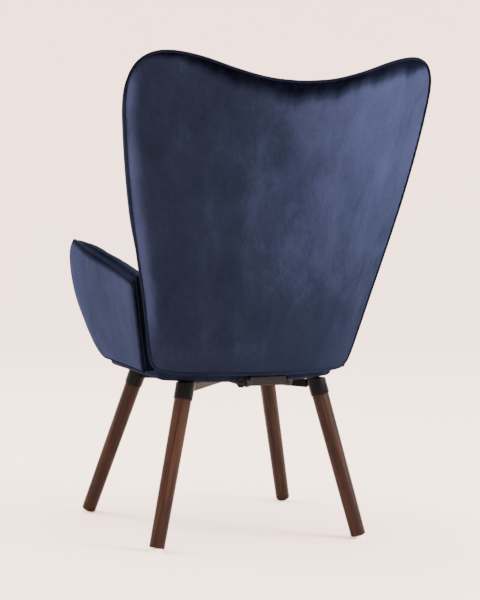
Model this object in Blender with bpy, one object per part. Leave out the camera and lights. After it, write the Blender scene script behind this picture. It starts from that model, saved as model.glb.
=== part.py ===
"""Recliner armchair: a winged, velvet-covered back shell that tilts on a clamped hinge behind the seat.

Metres, +Z up, the sitter faces -Y and the sitter's left is +X. Lengths below are measured from a line
midway between the front and rear feet. The whole chair then hangs from one empty that puts the middle
of its depth on the origin.
"""

import math

import bmesh
import bpy
import numpy as np
from mathutils import Matrix, Vector

GAP = 0.0003  # clearance between pieces that touch
MIDDLE_Y = 0.116  # middle of the chair's depth, seat front to the top of the back

# Legs: the foot and the socket mouth of each, with the splay that they give.
REAR_FOOT = (0.235, 0.264)
REAR_MOUTH = (0.1600, 0.2165)
FRONT_FOOT = (0.252, -0.264)
FRONT_MOUTH = (0.1677, -0.1518)
MOUTH_Z = 0.319
UNDERSIDE_Z = 0.3570  # bottom of the upholstered seat base
UNDER_GAP = 0.0004
LEG_TOP_RADIUS = 0.0190
LEG_FOOT_RADIUS = 0.0168
SOCKET_RADIUS = 0.0210
SOCKET_WALL = 0.0016
SOCKET_WEB = 0.004
LEG_INTO_SOCKET = 0.022
GLIDE_HEIGHT = 0.0060
GLIDE_RADIUS = 0.0138
GLIDE_STEM = 0.012
BOLT_RADIUS = 0.004
BOLT_HOLE = 0.0047

# Underframe: four channels on a round hub plate.
HUB_Y = 0.035
HUB_RADIUS = 0.058
HUB_THICKNESS = 0.005
CHANNEL_WIDTH = 0.022
CHANNEL_WALL = 0.0025
CHANNEL_DEEP = 0.017
CHANNEL_SHALLOW = 0.011
SEAT_BOLT_SPREAD = 0.030

# Seat.
SEAT_HALF_WIDTH = 0.2015
SEAT_FRONT = -0.275
SEAT_CORNER = 0.055
SEAT_REAR = 0.272
BASE_TOP = 0.432
COVER_SIDE = 0.012
COVER_TOP = 0.016
BOARD_THICKNESS = 0.012
RAIL_WIDTH = 0.022
CUSHION_TOP = 0.470
CUSHION_CROWN = 0.018
CUSHION_NOSE = 0.015
CUSHION_REAR_FROM = 0.1  # behind this the cushion is shortened, clear of the back pad
CUSHION_REAR_SHARE = 0.6
CUSHION_REAR_START = 0.060
RAIL_GAP = 0.0035
RAIL_REAR = 0.170

# Back shell: its rear face is a leaning sheet whose sides sweep forward as wings.
BACK_BOTTOM = 0.378
BACK_TOE_Y = 0.326
BACK_LEAN = 0.297
WING_SWEEP = 0.112
WING_SWEEP_LOW = 0.123
WING_POWER = 2.2
TOP_CURL = 0.012
TOP_CURL_HEIGHT = 0.11
OUTER_PANEL = 0.014
BACK_BOARD = 0.010
BACK_BOARD_INSET = 0.028  # as a share of the back's width and height
PAD_LOW = 0.045
PAD_FULL = 0.120
PAD_HIGH = 0.095
PAD_FACE_SHRINK = 0.982
PAD_FACE_CENTRE = (0.0, 0.70)
RIM_LOW = 0.031
RIM_HIGH = 0.048
WELT_RADIUS = 0.003
WELT_GAP = 0.0007

# Right half of the back's outline as (x, z): a rounded toe, a flaring side, an ear and a dipping top.
BACK_TOE = [(0.0, 0.378), (0.09, 0.378), (0.178, 0.379), (0.2145, 0.3875)]
BACK_SIDE = [(0.2145, 0.3875), (0.2275, 0.415), (0.2390, 0.462), (0.2568, 0.54), (0.276, 0.62),
             (0.2985, 0.72), (0.3135, 0.80), (0.3255, 0.88), (0.333, 0.95), (0.3305, 1.0), (0.310, 1.033)]
BACK_CREST = [(0.310, 1.033), (0.271, 1.0435), (0.21, 1.032), (0.14, 1.008), (0.07, 0.990), (0.0, 0.984)]

# Arm: side view as (y, z), outer face leaning out, with a boxing strip over its top and front.
ARM_HEEL = (0.160, 0.377)
ARM_SHOULDER = (0.228, 0.577)
ARM_TOP = [(-0.243, 0.651), (-0.222, 0.6575), (-0.12, 0.640), (0.05, 0.610), ARM_SHOULDER]
ARM_FRONT = [(-0.116, 0.381), (-0.140, 0.396), (-0.170, 0.428), (-0.200, 0.470), (-0.224, 0.515),
             (-0.240, 0.560), (-0.2495, 0.605), (-0.251, 0.632), (-0.243, 0.651)]
ARM_FOOT_X = 0.238
ARM_FLARE = 0.19
ARM_BELLY = 0.022
ARM_REAR_SKEW = 0.74
ARM_THICKNESS = 0.034
ARM_TOP_EXTRA = 0.015
ARM_FRONT_LESS = 0.010
ARM_STRIP = 0.009
ARM_PANEL = 0.010
ARM_BOARD = 0.010
ARM_COLUMNS = 11
ARM_ROWS = 8
ARM_BOLT_Z = 0.394
ARM_BOLT_Y = (-0.04, 0.09)

# Hinge and its clamp, on one axis along X.
PIVOT_Y = 0.310
PIVOT_Z = 0.3612
KNUCKLE_HALF = 0.040
KNUCKLE_DROP = 0.0075
KNUCKLE_REAR = 0.0085
KNUCKLE_FRONT = 0.0155
KNUCKLE_TOP = 0.3725
BLADE_FOOT = 0.380
BLADE_BEHIND = 0.004  # from the board's front face to the blade
BRACKET_FRONT = 0.128
BRACKET_REAR = 0.240
BRACKET_PLATE = 0.005
EAR_FRONT = 0.230
EAR_NECK = [(0.288, 0.3700), (0.279, 0.3566)]
EAR_INNER = 0.0440
EAR_THICKNESS = 0.005
EAR_RADIUS = 0.0105
WASHER_RADIUS = 0.0090
BUSH_OUTER = 0.0057
BAR_THICKNESS = 0.006
BAR_TOP = 0.560
BACK_BOLT_X = 0.024
BACK_BOLT_Z = (0.455, 0.525)
KNOB_START = 0.0494
KNOB_LENGTH = 0.018
KNOB_RADIUS = 0.0094
KNOB_LOBE = 0.0016
KNOB_LOBES = 5
KNOB_BORE = 0.0135
KNOB_SIDES = 40

ROUND = 16  # sides of a turned piece
BOLT_SIDES = 10


def clear_scene():
    for obj in list(bpy.data.objects):
        bpy.data.objects.remove(obj, do_unlink=True)


def material(name, colour, roughness, metallic=0.0):
    made = bpy.data.materials.new(name)
    made.use_nodes = True
    shader = made.node_tree.nodes["Principled BSDF"]
    shader.inputs["Base Color"].default_value = (*colour, 1.0)
    shader.inputs["Roughness"].default_value = roughness
    shader.inputs["Metallic"].default_value = metallic
    return made


class Palette:
    """The finishes that the chair's pieces are given."""

    def __init__(self):
        self.velvet = (0.020, 0.032, 0.085), 0.85
        self.cloth = (0.020, 0.020, 0.022), 0.95
        self.walnut = (0.060, 0.022, 0.012), 0.45
        self.plywood = (0.520, 0.360, 0.210), 0.70
        self.black_steel = (0.012, 0.012, 0.013), 0.40, 0.9
        self.grey_steel = (0.110, 0.110, 0.115), 0.38, 1.0
        self.zinc = (0.550, 0.560, 0.570), 0.35, 1.0
        self.nylon = (0.780, 0.770, 0.740), 0.50
        self.black_plastic = (0.010, 0.010, 0.010), 0.45
        self.bronze = (0.420, 0.260, 0.110), 0.40, 1.0


def empty(name, place, parent=None):
    made = bpy.data.objects.new(name, None)
    made.location = place
    made.parent = parent
    bpy.context.scene.collection.objects.link(made)
    return made


class Chair:
    """Adds named pieces under the empties that carry them."""

    def __init__(self):
        self.root = empty("chair", (0, -MIDDLE_Y, 0))
        self.back = empty("back_pivot", (0, PIVOT_Y, PIVOT_Z), self.root)
        self.knob = empty("knob_axis", (KNOB_START, PIVOT_Y, PIVOT_Z), self.root)
        self.palette = Palette()

    def add(self, name, mesh_bm, finish, parent=None, smooth=True):
        """A piece modelled in the chair's own lengths, hung from root, back or knob."""
        bmesh.ops.recalc_face_normals(mesh_bm, faces=mesh_bm.faces)
        mesh = bpy.data.meshes.new(name)
        mesh_bm.to_mesh(mesh)
        mesh_bm.free()
        carrier = parent or self.root
        if carrier is not self.root:
            mesh.transform(Matrix.Translation(-carrier.location))
        if smooth:
            mesh.shade_smooth()
            mesh.set_sharp_from_angle(angle=math.radians(35))
        made = bpy.data.objects.new(name, mesh)
        made.parent = carrier
        if finish:
            mesh.materials.append(material(name + "_finish", *finish))
        bpy.context.scene.collection.objects.link(made)
        return made

    def cutter(self, name, mesh_bm, parent=None):
        made = self.add(name, mesh_bm, None, parent, smooth=False)
        made.hide_render = True
        made.display_type = "WIRE"
        return made


def combine(obj, other, operation):
    modifier = obj.modifiers.new(operation.lower() + "_" + other.name, "BOOLEAN")
    modifier.operation = operation
    modifier.solver = "EXACT"
    modifier.object = other


def smoothstep(value):
    value = np.clip(value, 0.0, 1.0)
    return value * value * (3 - 2 * value)


# Curves and grids


def through(points, steps=12):
    """A smooth curve through the points (Catmull-Rom), as a dense polyline."""
    points = np.asarray(points, float)
    padded = np.vstack([2 * points[0] - points[1], points, 2 * points[-1] - points[-2]])
    curve = []
    for i in range(1, len(padded) - 2):
        a, b, c, d = padded[i - 1 : i + 3]
        for t in np.arange(steps) / steps:
            curve.append(
                0.5 * (2 * b + (c - a) * t + (2 * a - 5 * b + 4 * c - d) * t**2
                       + (3 * b - a - 3 * c + d) * t**3)
            )
    curve.append(points[-1])
    return np.array(curve)


def edged(count, edge):
    """Evenly spaced places from 0 to 1, with one more close to each end."""
    return np.concatenate([[0], np.linspace(edge, 1 - edge, count - 2), [1]])


def resample(curve, places):
    """The curve at these places along it, each 0 to 1, or at this many evenly spaced ones."""
    lengths = np.concatenate([[0], np.cumsum(np.linalg.norm(np.diff(curve, axis=0), axis=1))])
    if isinstance(places, int):
        places = np.linspace(0, 1, places)
    wanted = lengths[-1] * places
    return np.column_stack([np.interp(wanted, lengths, curve[:, k]) for k in range(curve.shape[1])])


def mirrored(curve):
    return curve * np.array([-1, 1])


def offset(curve, distance):
    """An open curve moved sideways, to the left of its direction when distance is positive."""
    along = np.gradient(curve, axis=0)
    along /= np.linalg.norm(along, axis=1)[:, None]
    return curve + distance * np.column_stack([-along[:, 1], along[:, 0]])


def patch(low, high, left, right, u=None, v=None):
    """A grid of points spanned by four edge curves (a Coons patch), sampled at u across and v upwards."""
    u = (np.linspace(0, 1, len(low)) if u is None else u)[None, :, None]
    v = (np.linspace(0, 1, len(left)) if v is None else v)[:, None, None]
    across = (1 - v) * low[None] + v * high[None]
    upward = (1 - u) * left[:, None] + u * right[:, None]
    corners = (1 - v) * ((1 - u) * low[0] + u * low[-1]) + v * ((1 - u) * high[0] + u * high[-1])
    return across + upward - corners


def slab(near, far):
    """A closed solid between two grids of the same size."""
    rows, columns = near.shape[:2]
    made = bmesh.new()
    sheets = [[[made.verts.new(p) for p in row] for row in grid] for grid in (near, far)]
    for sheet in sheets:
        for i in range(rows - 1):
            for j in range(columns - 1):
                made.faces.new((sheet[i][j], sheet[i][j + 1], sheet[i + 1][j + 1]))
                made.faces.new((sheet[i][j], sheet[i + 1][j + 1], sheet[i + 1][j]))
    rim = [(0, j) for j in range(columns)] + [(i, columns - 1) for i in range(1, rows)]
    rim += [(rows - 1, j) for j in range(columns - 2, -1, -1)] + [(i, 0) for i in range(rows - 2, 0, -1)]
    for (i, j), (k, m) in zip(rim, rim[1:] + rim[:1]):
        made.faces.new((sheets[0][i][j], sheets[1][i][j], sheets[1][k][m], sheets[0][k][m]))
    return made


# Simple solids


def turned(profile, start, end, sides=ROUND, lobes=0):
    """A piece turned about the line from start to end. Each profile entry is (radius, height) or
    (radius, height, lobe depth). A profile that leaves the axis closes on itself."""
    axis = Vector(end) - Vector(start)
    frame = Matrix.Translation(Vector(start)) @ axis.to_track_quat("Z", "Y").to_matrix().to_4x4()
    made = bmesh.new()
    rings = []
    for entry in profile:
        radius, height = entry[:2]
        lobe = entry[2] if len(entry) > 2 else 0.0
        if radius == 0:
            rings.append([made.verts.new(frame @ Vector((0, 0, height)))])
            continue
        ring = []
        for k in range(sides):
            angle = 2 * math.pi * k / sides
            reach = radius + lobe * math.cos(lobes * angle)
            place = Vector((reach * math.cos(angle), reach * math.sin(angle), height))
            ring.append(made.verts.new(frame @ place))
        rings.append(ring)
    pairs = list(zip(rings, rings[1:]))
    if len(rings[0]) > 1:
        pairs.append((rings[-1], rings[0]))
    for a, b in pairs:
        for k in range(sides):
            n = (k + 1) % sides
            if len(a) == 1:
                made.faces.new((a[0], b[k], b[n]))
            elif len(b) == 1:
                made.faces.new((a[k], b[0], a[n]))
            else:
                made.faces.new((a[k], b[k], b[n], a[n]))
    return made


def rod(start, end, radius, sides=ROUND):
    length = (Vector(end) - Vector(start)).length
    return turned([(0, 0), (radius, 0), (radius, length), (0, length)], start, end, sides)


def prism(outline, low, high, axis):
    """A flat outline pushed from low to high along an axis: (x, y) along Z, or (y, z) along X."""
    made = bmesh.new()
    rings = []
    for level in (low, high):
        if axis == "Z":
            rings.append([made.verts.new((a, b, level)) for a, b in outline])
        else:
            rings.append([made.verts.new((level, a, b)) for a, b in outline])
    made.faces.new(rings[0])
    made.faces.new(rings[1])
    count = len(outline)
    for k in range(count):
        n = (k + 1) % count
        made.faces.new((rings[0][k], rings[0][n], rings[1][n], rings[1][k]))
    return made


def box(low, high):
    outline = [(low[0], low[1]), (high[0], low[1]), (high[0], high[1]), (low[0], high[1])]
    return prism(outline, low[2], high[2], "Z")


def arc(centre, radius, first, last, steps):
    angles = np.radians(np.linspace(first, last, steps))
    return [(centre[0] + radius * math.cos(a), centre[1] + radius * math.sin(a)) for a in angles]


# Legs and underframe


def leg_line(foot, mouth, side):
    """The foot's centre and the unit direction of a leg, which runs up and inwards."""
    start = Vector((side * foot[0], foot[1], 0.0))
    reach = Vector((side * mouth[0], mouth[1], MOUTH_Z)) - start
    return start, reach.normalized()


def add_leg(chair, place, foot, mouth, side):
    start, along = leg_line(foot, mouth, side)
    to_mouth = MOUTH_Z / along.z
    leg_top = to_mouth + LEG_INTO_SOCKET
    stem = GLIDE_STEM
    low = GLIDE_HEIGHT / along.z + 0.0015
    leg = [(0, low + stem), (0.0032, low + stem), (0.0032, low), (LEG_FOOT_RADIUS - 0.0015, low),
           (LEG_FOOT_RADIUS, low + 0.003), (LEG_TOP_RADIUS, to_mouth), (LEG_TOP_RADIUS, leg_top - 0.001),
           (LEG_TOP_RADIUS - 0.001, leg_top), (BOLT_HOLE, leg_top), (BOLT_HOLE, leg_top - 0.020),
           (0, leg_top - 0.020)]
    chair.add("leg_" + place, turned(leg, start, start + along), chair.palette.walnut)

    foot_end = start + along * (low - GAP)
    glide = [(0, 0), (GLIDE_RADIUS, 0), (GLIDE_RADIUS, low - GAP - 0.0012),
             (0.0029, low - GAP), (0.0029, low + stem - GAP), (0, low + stem - GAP)]
    disc = turned(glide, start, foot_end)
    level_off(disc, start, along, 0.0, 0.0)
    chair.add("glide_" + place, disc, chair.palette.nylon)

    under = UNDERSIDE_Z - UNDER_GAP
    top = under / along.z
    inner = LEG_TOP_RADIUS + GAP
    web = leg_top + GAP
    upper = SOCKET_RADIUS - SOCKET_WALL
    floor = web + SOCKET_WEB
    socket = [(inner, to_mouth), (SOCKET_RADIUS, to_mouth), (SOCKET_RADIUS, top), (upper, top),
              (upper, floor), (BOLT_HOLE, floor), (BOLT_HOLE, web), (inner, web)]
    cup = turned(socket, start, start + along)
    level_off(cup, start, along, top, under)
    chair.add("leg_socket_" + place, cup, chair.palette.black_steel)

    seat = floor + GAP
    bolt = [(0, leg_top - 0.018), (BOLT_RADIUS, leg_top - 0.018), (BOLT_RADIUS, seat), (0.0075, seat),
            (0.0075, seat + 0.004), (0.0066, seat + 0.005), (0, seat + 0.005)]
    chair.add("leg_bolt_" + place, turned(bolt, start, start + along, BOLT_SIDES), chair.palette.zinc)


def level_off(made, start, along, height, level):
    """Slides the rings at this height along a tilted axis until they lie flat at this level."""
    for vert in made.verts:
        if abs((vert.co - start).dot(along) - height) < 1e-6:
            vert.co += along * ((level - vert.co.z) / along.z)


def channel_section(centre, across, top, height, lean):
    """The eight corners of an inverted U, as seen along the channel."""
    half = CHANNEL_WIDTH / 2
    wall = CHANNEL_WALL
    corners = [(-half, 0), (-half, height), (-half + wall, height), (-half + wall, wall),
               (half - wall, wall), (half - wall, height), (half, height), (half, 0)]
    return [centre + across * side + lean * drop + Vector((0, 0, top - drop)) for side, drop in corners]


def add_channel(chair, place, foot, mouth, side):
    """A tapered channel from the hub to the inner face of a leg socket."""
    start, along = leg_line(foot, mouth, side)
    top = UNDERSIDE_Z - UNDER_GAP - HUB_THICKNESS - GAP
    at_top = start + along * (top / along.z)
    hub = Vector((0, HUB_Y, 0))
    run = Vector((at_top.x, at_top.y, 0)) - hub
    outward = run.normalized()
    across = Vector((-outward.y, outward.x, 0))
    tilt = Vector((-along.x / along.z, -along.y / along.z, 0))
    far = hub + outward * (run.length - SOCKET_RADIUS / math.sqrt(along.z) - 0.0012)
    near = hub + outward * 0.020
    lean = outward * max(0.0, tilt.dot(outward))
    rings = [channel_section(near, across, top, CHANNEL_SHALLOW, Vector((0, 0, 0))),
             channel_section(far, across, top, CHANNEL_DEEP, lean)]
    made = bmesh.new()
    rings = [[made.verts.new(p) for p in ring] for ring in rings]
    made.faces.new(rings[0])
    made.faces.new(rings[1])
    for k in range(8):
        n = (k + 1) % 8
        made.faces.new((rings[0][k], rings[0][n], rings[1][n], rings[1][k]))
    chair.add("underframe_channel_" + place, made, chair.palette.black_steel, smooth=False)


def add_underframe(chair, seat_board, dust_cover):
    high = UNDERSIDE_Z - UNDER_GAP
    low = high - HUB_THICKNESS
    plate = [(HUB_RADIUS - 0.001, low), (HUB_RADIUS, low + 0.001), (HUB_RADIUS, high), (0, high)]
    hub = chair.add("hub_plate", turned([(0, low)] + plate, (0, HUB_Y, 0), (0, HUB_Y, 1), 32),
                    chair.palette.black_steel)
    for name, x, y in (("front", 0, -1), ("rear", 0, 1), ("left", 1, 0), ("right", -1, 0)):
        place = (x * SEAT_BOLT_SPREAD, HUB_Y + y * SEAT_BOLT_SPREAD)
        hole = rod((*place, low - 0.005), (*place, UNDERSIDE_Z + 0.0135), BOLT_HOLE, BOLT_SIDES)
        drill = chair.cutter("seat_bolt_drill_" + name, hole)
        for piece in (hub, seat_board, dust_cover):
            combine(piece, drill, "DIFFERENCE")
        head = low - GAP
        tip = UNDERSIDE_Z + 0.010
        bolt = [(0, head - 0.004), (0.0062, head - 0.004), (0.0072, head - 0.003), (0.0072, head),
                (BOLT_RADIUS, head), (BOLT_RADIUS, tip), (0, tip)]
        screw = turned(bolt, (*place, 0), (*place, 1), BOLT_SIDES)
        chair.add("seat_bolt_" + name, screw, chair.palette.zinc)


# Seat


def seat_rear(x):
    """How far back the bowed rear edge of the seat reaches at this x."""
    return SEAT_REAR - WING_SWEEP_LOW * (abs(x) / 0.223) ** WING_POWER


def seat_outline(inset, front=SEAT_FRONT, half_width=SEAT_HALF_WIDTH):
    """The seat in plan: round front corners, straight sides and a bowed rear edge."""
    half = half_width - inset
    radius = SEAT_CORNER - inset
    corner_y = front + inset + radius
    right = arc((half - radius, corner_y), radius, -90, 0, 7)
    rear_x = np.linspace(half - 0.012, 0, 7)
    right.append((half, seat_rear(half - 0.012) - inset - 0.012))
    right += [(x, seat_rear(x) - inset) for x in rear_x]
    left = [(-x, y) for x, y in right[:-1]]
    return right + left[::-1]


def stacked(outline_at, levels, crown=0.0):
    """A closed solid of outlines stacked upwards, each (inset, z), closed by a crown at the top."""
    made = bmesh.new()
    rings = [[made.verts.new((x, y, z)) for x, y in outline_at(inset)] for inset, z in levels]
    count = len(rings[0])
    made.faces.new(rings[0])
    for a, b in zip(rings, rings[1:]):
        for k in range(count):
            n = (k + 1) % count
            made.faces.new((a[k], a[n], b[n], b[k]))
    top = made.verts.new((0, -0.02, levels[-1][1] + crown))
    for k in range(count):
        made.faces.new((rings[-1][k], rings[-1][(k + 1) % count], top))
    return made


def add_seat(chair):
    """The upholstered base with its wooden frame, and the cushion. Returns what bolts pass through."""
    bottom = UNDERSIDE_Z
    cover = chair.add("seat_base_cover", stacked(seat_outline, [
        (0.004, bottom), (0.0, bottom + 0.004), (0.0, BASE_TOP - 0.008), (0.006, BASE_TOP)]),
        chair.palette.velvet)
    cavity = chair.cutter("seat_base_cavity",
                          prism(seat_outline(COVER_SIDE), bottom - 0.01, BASE_TOP - COVER_TOP, "Z"))
    combine(cover, cavity, "DIFFERENCE")

    fit = seat_outline(COVER_SIDE + 2 * GAP)
    cloth_top = bottom + 0.0010
    cloth = chair.add("dust_cover", prism(fit, bottom, cloth_top, "Z"), chair.palette.cloth, smooth=False)
    board_low = cloth_top + GAP
    board_high = board_low + BOARD_THICKNESS
    board = chair.add("seat_board", prism(fit, board_low, board_high, "Z"), chair.palette.plywood,
                      smooth=False)

    rail_low = board_high + GAP
    rail_high = BASE_TOP - COVER_TOP - GAP
    inner = SEAT_HALF_WIDTH - COVER_SIDE - RAIL_GAP - RAIL_WIDTH
    front = SEAT_FRONT + COVER_SIDE + 0.001
    rear = RAIL_REAR
    side_rails = {}
    for name, side in (("left", 1), ("right", -1)):
        ends = sorted((side * inner, side * (inner + RAIL_WIDTH)))
        rail = box((ends[0], front + 0.036, rail_low), (ends[1], rear - 0.012, rail_high))
        side_rails[name] = chair.add("seat_rail_" + name, rail, chair.palette.plywood, smooth=False)
    for name, y, reach in (("front", front, inner - 0.020), ("rear", rear - RAIL_WIDTH, inner - GAP)):
        rail = box((-reach, y, rail_low), (reach, y + RAIL_WIDTH, rail_high))
        chair.add("seat_rail_" + name, rail, chair.palette.plywood, smooth=False)

    low = BASE_TOP + 2 * GAP

    def cushion_outline(inset):
        outline = seat_outline(inset, SEAT_FRONT - CUSHION_NOSE, SEAT_HALF_WIDTH - 0.002)
        return [(x, min(y, CUSHION_REAR_SHARE * y + CUSHION_REAR_START)) if y > CUSHION_REAR_FROM else (x, y)
                for x, y in outline]

    chair.add("seat_cushion", stacked(cushion_outline, [
        (0.010, low), (0.0, low + 0.010), (0.0, CUSHION_TOP - 0.010), (0.010, CUSHION_TOP),
        (0.035, CUSHION_TOP + 0.010)], CUSHION_CROWN - 0.010), chair.palette.velvet)
    return cover, cloth, board, side_rails


# Back

BACK_U = edged(15, BACK_BOARD_INSET)
BACK_V = edged(17, BACK_BOARD_INSET)


def half_width(z):
    """Half the back's width at a height, up to the widest point of the wings."""
    return 0.340 - 0.117 * (np.clip(0.96 - z, 0, None) / 0.585) ** 1.35


def crest_height(x):
    """Height of the dipping top edge."""
    return 0.984 + 0.060 * smoothstep(np.abs(x) / 0.271)


def wing_sweep(z):
    """How far the wings' edges stand in front of the back's middle, a little more at the toe."""
    return WING_SWEEP_LOW - (WING_SWEEP_LOW - WING_SWEEP) * (z - BACK_BOTTOM) / 0.6


def rear_face(x, z):
    """Y of the back's rear face."""
    curl = smoothstep((z - crest_height(x) + TOP_CURL_HEIGHT) / TOP_CURL_HEIGHT)
    centre = BACK_TOE_Y + BACK_LEAN * (z - BACK_BOTTOM) + TOP_CURL * curl
    return centre - wing_sweep(z) * (np.abs(x) / half_width(z)) ** WING_POWER


def back_grid():
    """Points (x, z) over the back. The rows and columns next to its edge are the board's edge."""
    side = resample(through(BACK_SIDE), BACK_V)
    toe_half, crest_half = through(BACK_TOE), through(BACK_CREST)
    low = resample(np.vstack([mirrored(toe_half)[::-1], toe_half[1:]]), BACK_U)
    high = resample(np.vstack([mirrored(crest_half), crest_half[::-1][1:]]), BACK_U)
    return patch(low, high, mirrored(side), side, BACK_U, BACK_V)


def pad_depth(grid):
    """How far the inner pad's face stands in front of the rear face, over the back's grid."""
    u = 2 * BACK_U[None, :] - 1
    v = 2 * BACK_V[:, None] - 1
    z = grid[..., 1]
    middle = PAD_LOW + (PAD_FULL - PAD_LOW) * smoothstep((z - 0.430) / 0.045)
    middle -= (PAD_FULL - PAD_HIGH) * smoothstep((z - 0.75) / 0.25)
    rim = RIM_LOW + (RIM_HIGH - RIM_LOW) * smoothstep((z - 0.60) / 0.12)
    crown = (1 - np.abs(u) ** 4) * (1 - v**8)
    return rim + (np.maximum(middle, rim) - rim) * crown


def over(grid, depth):
    """The grid's points at this depth in front of the rear face, in the chair's lengths."""
    x, z = grid[..., 0], grid[..., 1]
    return np.stack([x, rear_face(x, z) - depth, z], axis=-1)


def back_line(grid, outset):
    """The edge of the back's grid as a closed ring of (x, z), moved outwards."""
    ring = np.vstack([grid[0], grid[1:, -1], grid[-1, -2::-1], grid[-2:0:-1, 0]])
    along = np.roll(ring, -1, axis=0) - np.roll(ring, 1, axis=0)
    along /= np.linalg.norm(along, axis=1)[:, None]
    return ring + outset * np.column_stack([along[:, 1], -along[:, 0]])


def add_back(chair):
    grid = back_grid()
    outer = slab(over(grid, 0.0), over(grid, OUTER_PANEL))
    chair.add("back_outer_panel", outer, chair.palette.velvet, chair.back)
    front = OUTER_PANEL + GAP + BACK_BOARD
    inner = grid[1:-1, 1:-1]
    board = chair.add("back_board", slab(over(inner, OUTER_PANEL + GAP), over(inner, front)),
                      chair.palette.plywood, chair.back)
    face = PAD_FACE_SHRINK * (grid - PAD_FACE_CENTRE) + PAD_FACE_CENTRE
    pad = chair.add("back_inner_pad", slab(over(grid, front + GAP), over(face, pad_depth(grid))),
                    chair.palette.velvet, chair.back)

    ring = back_line(grid, WELT_RADIUS + WELT_GAP)
    welt = bpy.data.curves.new("back_welt", "CURVE")
    welt.dimensions = "3D"
    welt.bevel_depth = WELT_RADIUS
    welt.bevel_resolution = 0
    spline = welt.splines.new("POLY")
    spline.points.add(len(ring) - 1)
    for point, (x, z) in zip(spline.points, ring):
        place = Vector((x, rear_face(x, z), z)) - Vector((0, PIVOT_Y, PIVOT_Z))
        point.co = (*place, 1)
    spline.use_cyclic_u = True
    cord = bpy.data.objects.new("back_welt", welt)
    cord.parent = chair.back
    welt.materials.append(material("back_welt_finish", *chair.palette.velvet))
    bpy.context.scene.collection.objects.link(cord)
    return board, pad


# Hinge


def add_bar(chair, board, pad):
    """The flat bar that carries the back: a knuckle on the pivot and a blade up the board's front."""
    rear = OUTER_PANEL + BACK_BOARD + BLADE_BEHIND
    front = rear + BAR_THICKNESS

    def face(z, depth):
        return BACK_TOE_Y + BACK_LEAN * (z - BACK_BOTTOM) - depth

    bottom = PIVOT_Z - KNUCKLE_DROP
    nose = PIVOT_Y - KNUCKLE_FRONT
    heel = PIVOT_Y + KNUCKLE_REAR
    bevel = 0.003
    outline = [(nose + bevel, bottom), (heel - bevel, bottom), (heel, bottom + bevel), (heel, KNUCKLE_TOP),
               (heel - bevel, KNUCKLE_TOP + bevel), (face(BLADE_FOOT, rear), BLADE_FOOT),
               (face(BAR_TOP, rear), BAR_TOP), (face(BAR_TOP, front), BAR_TOP),
               (face(BLADE_FOOT + 0.005, front), BLADE_FOOT + 0.005), (nose, KNUCKLE_TOP - 0.0025),
               (nose, bottom + bevel)]
    bar = chair.add("back_bar", prism(outline, -KNUCKLE_HALF, KNUCKLE_HALF, "X"), chair.palette.grey_steel,
                    chair.back, smooth=False)
    ends = (-0.06, PIVOT_Y, PIVOT_Z), (0.06, PIVOT_Y, PIVOT_Z)
    bore = chair.cutter("back_bar_bore", rod(*ends, BUSH_OUTER + GAP), chair.back)
    combine(bar, bore, "DIFFERENCE")

    low, high = PIVOT_Z, BAR_TOP + 0.012
    wall = OUTER_PANEL + BACK_BOARD - 0.004
    deep = wall + 0.021
    room = [(face(low, wall), low), (face(high, wall), high),
            (face(high, deep), high), (face(low, deep), low)]
    reach = KNUCKLE_HALF + 0.003
    notch = chair.cutter("back_pad_notch", prism(room, -reach, reach, "X"), chair.back)
    combine(pad, notch, "DIFFERENCE")

    outward = Vector((0, 1, -BACK_LEAN)).normalized()
    places = (("lower_left", 1, 0), ("lower_right", -1, 0), ("upper_left", 1, 1), ("upper_right", -1, 1))
    for name, x, row in places:
        height = BACK_BOLT_Z[row]
        seat = Vector((x * BACK_BOLT_X, face(height, front + GAP), height))
        hole = rod(seat - outward * 0.002, seat + outward * 0.018, BOLT_HOLE, BOLT_SIDES)
        drill = chair.cutter("back_bolt_drill_" + name, hole, chair.back)
        combine(bar, drill, "DIFFERENCE")
        combine(board, drill, "DIFFERENCE")
        bolt = [(0, -0.0035), (0.0060, -0.0035), (0.0068, -0.0027), (0.0068, 0), (BOLT_RADIUS, 0),
                (BOLT_RADIUS, 0.0150), (0, 0.0150)]
        screw = turned(bolt, seat, seat + outward, BOLT_SIDES)
        chair.add("back_bolt_" + name, screw, chair.palette.zinc, chair.back)


def add_bracket(chair):
    """The fixed half of the hinge: a plate under the seat whose two ears hold the pivot."""
    high = UNDERSIDE_Z - UNDER_GAP
    low = high - BRACKET_PLATE
    half = EAR_INNER + EAR_THICKNESS
    plate = chair.add("hinge_bracket", box((-half, BRACKET_FRONT, low), (half, BRACKET_REAR, high)),
                      chair.palette.black_steel, smooth=False)
    ear = [(EAR_FRONT, low), (PIVOT_Y, low - 0.0005)]
    ear += arc((PIVOT_Y, PIVOT_Z), EAR_RADIUS, -80, 110, 12)
    ear += EAR_NECK + [(EAR_FRONT, high)]
    for name, side in (("left", 1), ("right", -1)):
        ends = sorted((side * EAR_INNER, side * half))
        cheek = chair.cutter("hinge_ear_" + name, prism(ear, ends[0], ends[1], "X"))
        combine(plate, cheek, "UNION")
    hole = rod((-0.08, PIVOT_Y, PIVOT_Z), (0.08, PIVOT_Y, PIVOT_Z), BOLT_HOLE)
    bore = chair.cutter("hinge_bracket_bore", hole)
    combine(plate, bore, "DIFFERENCE")


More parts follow.
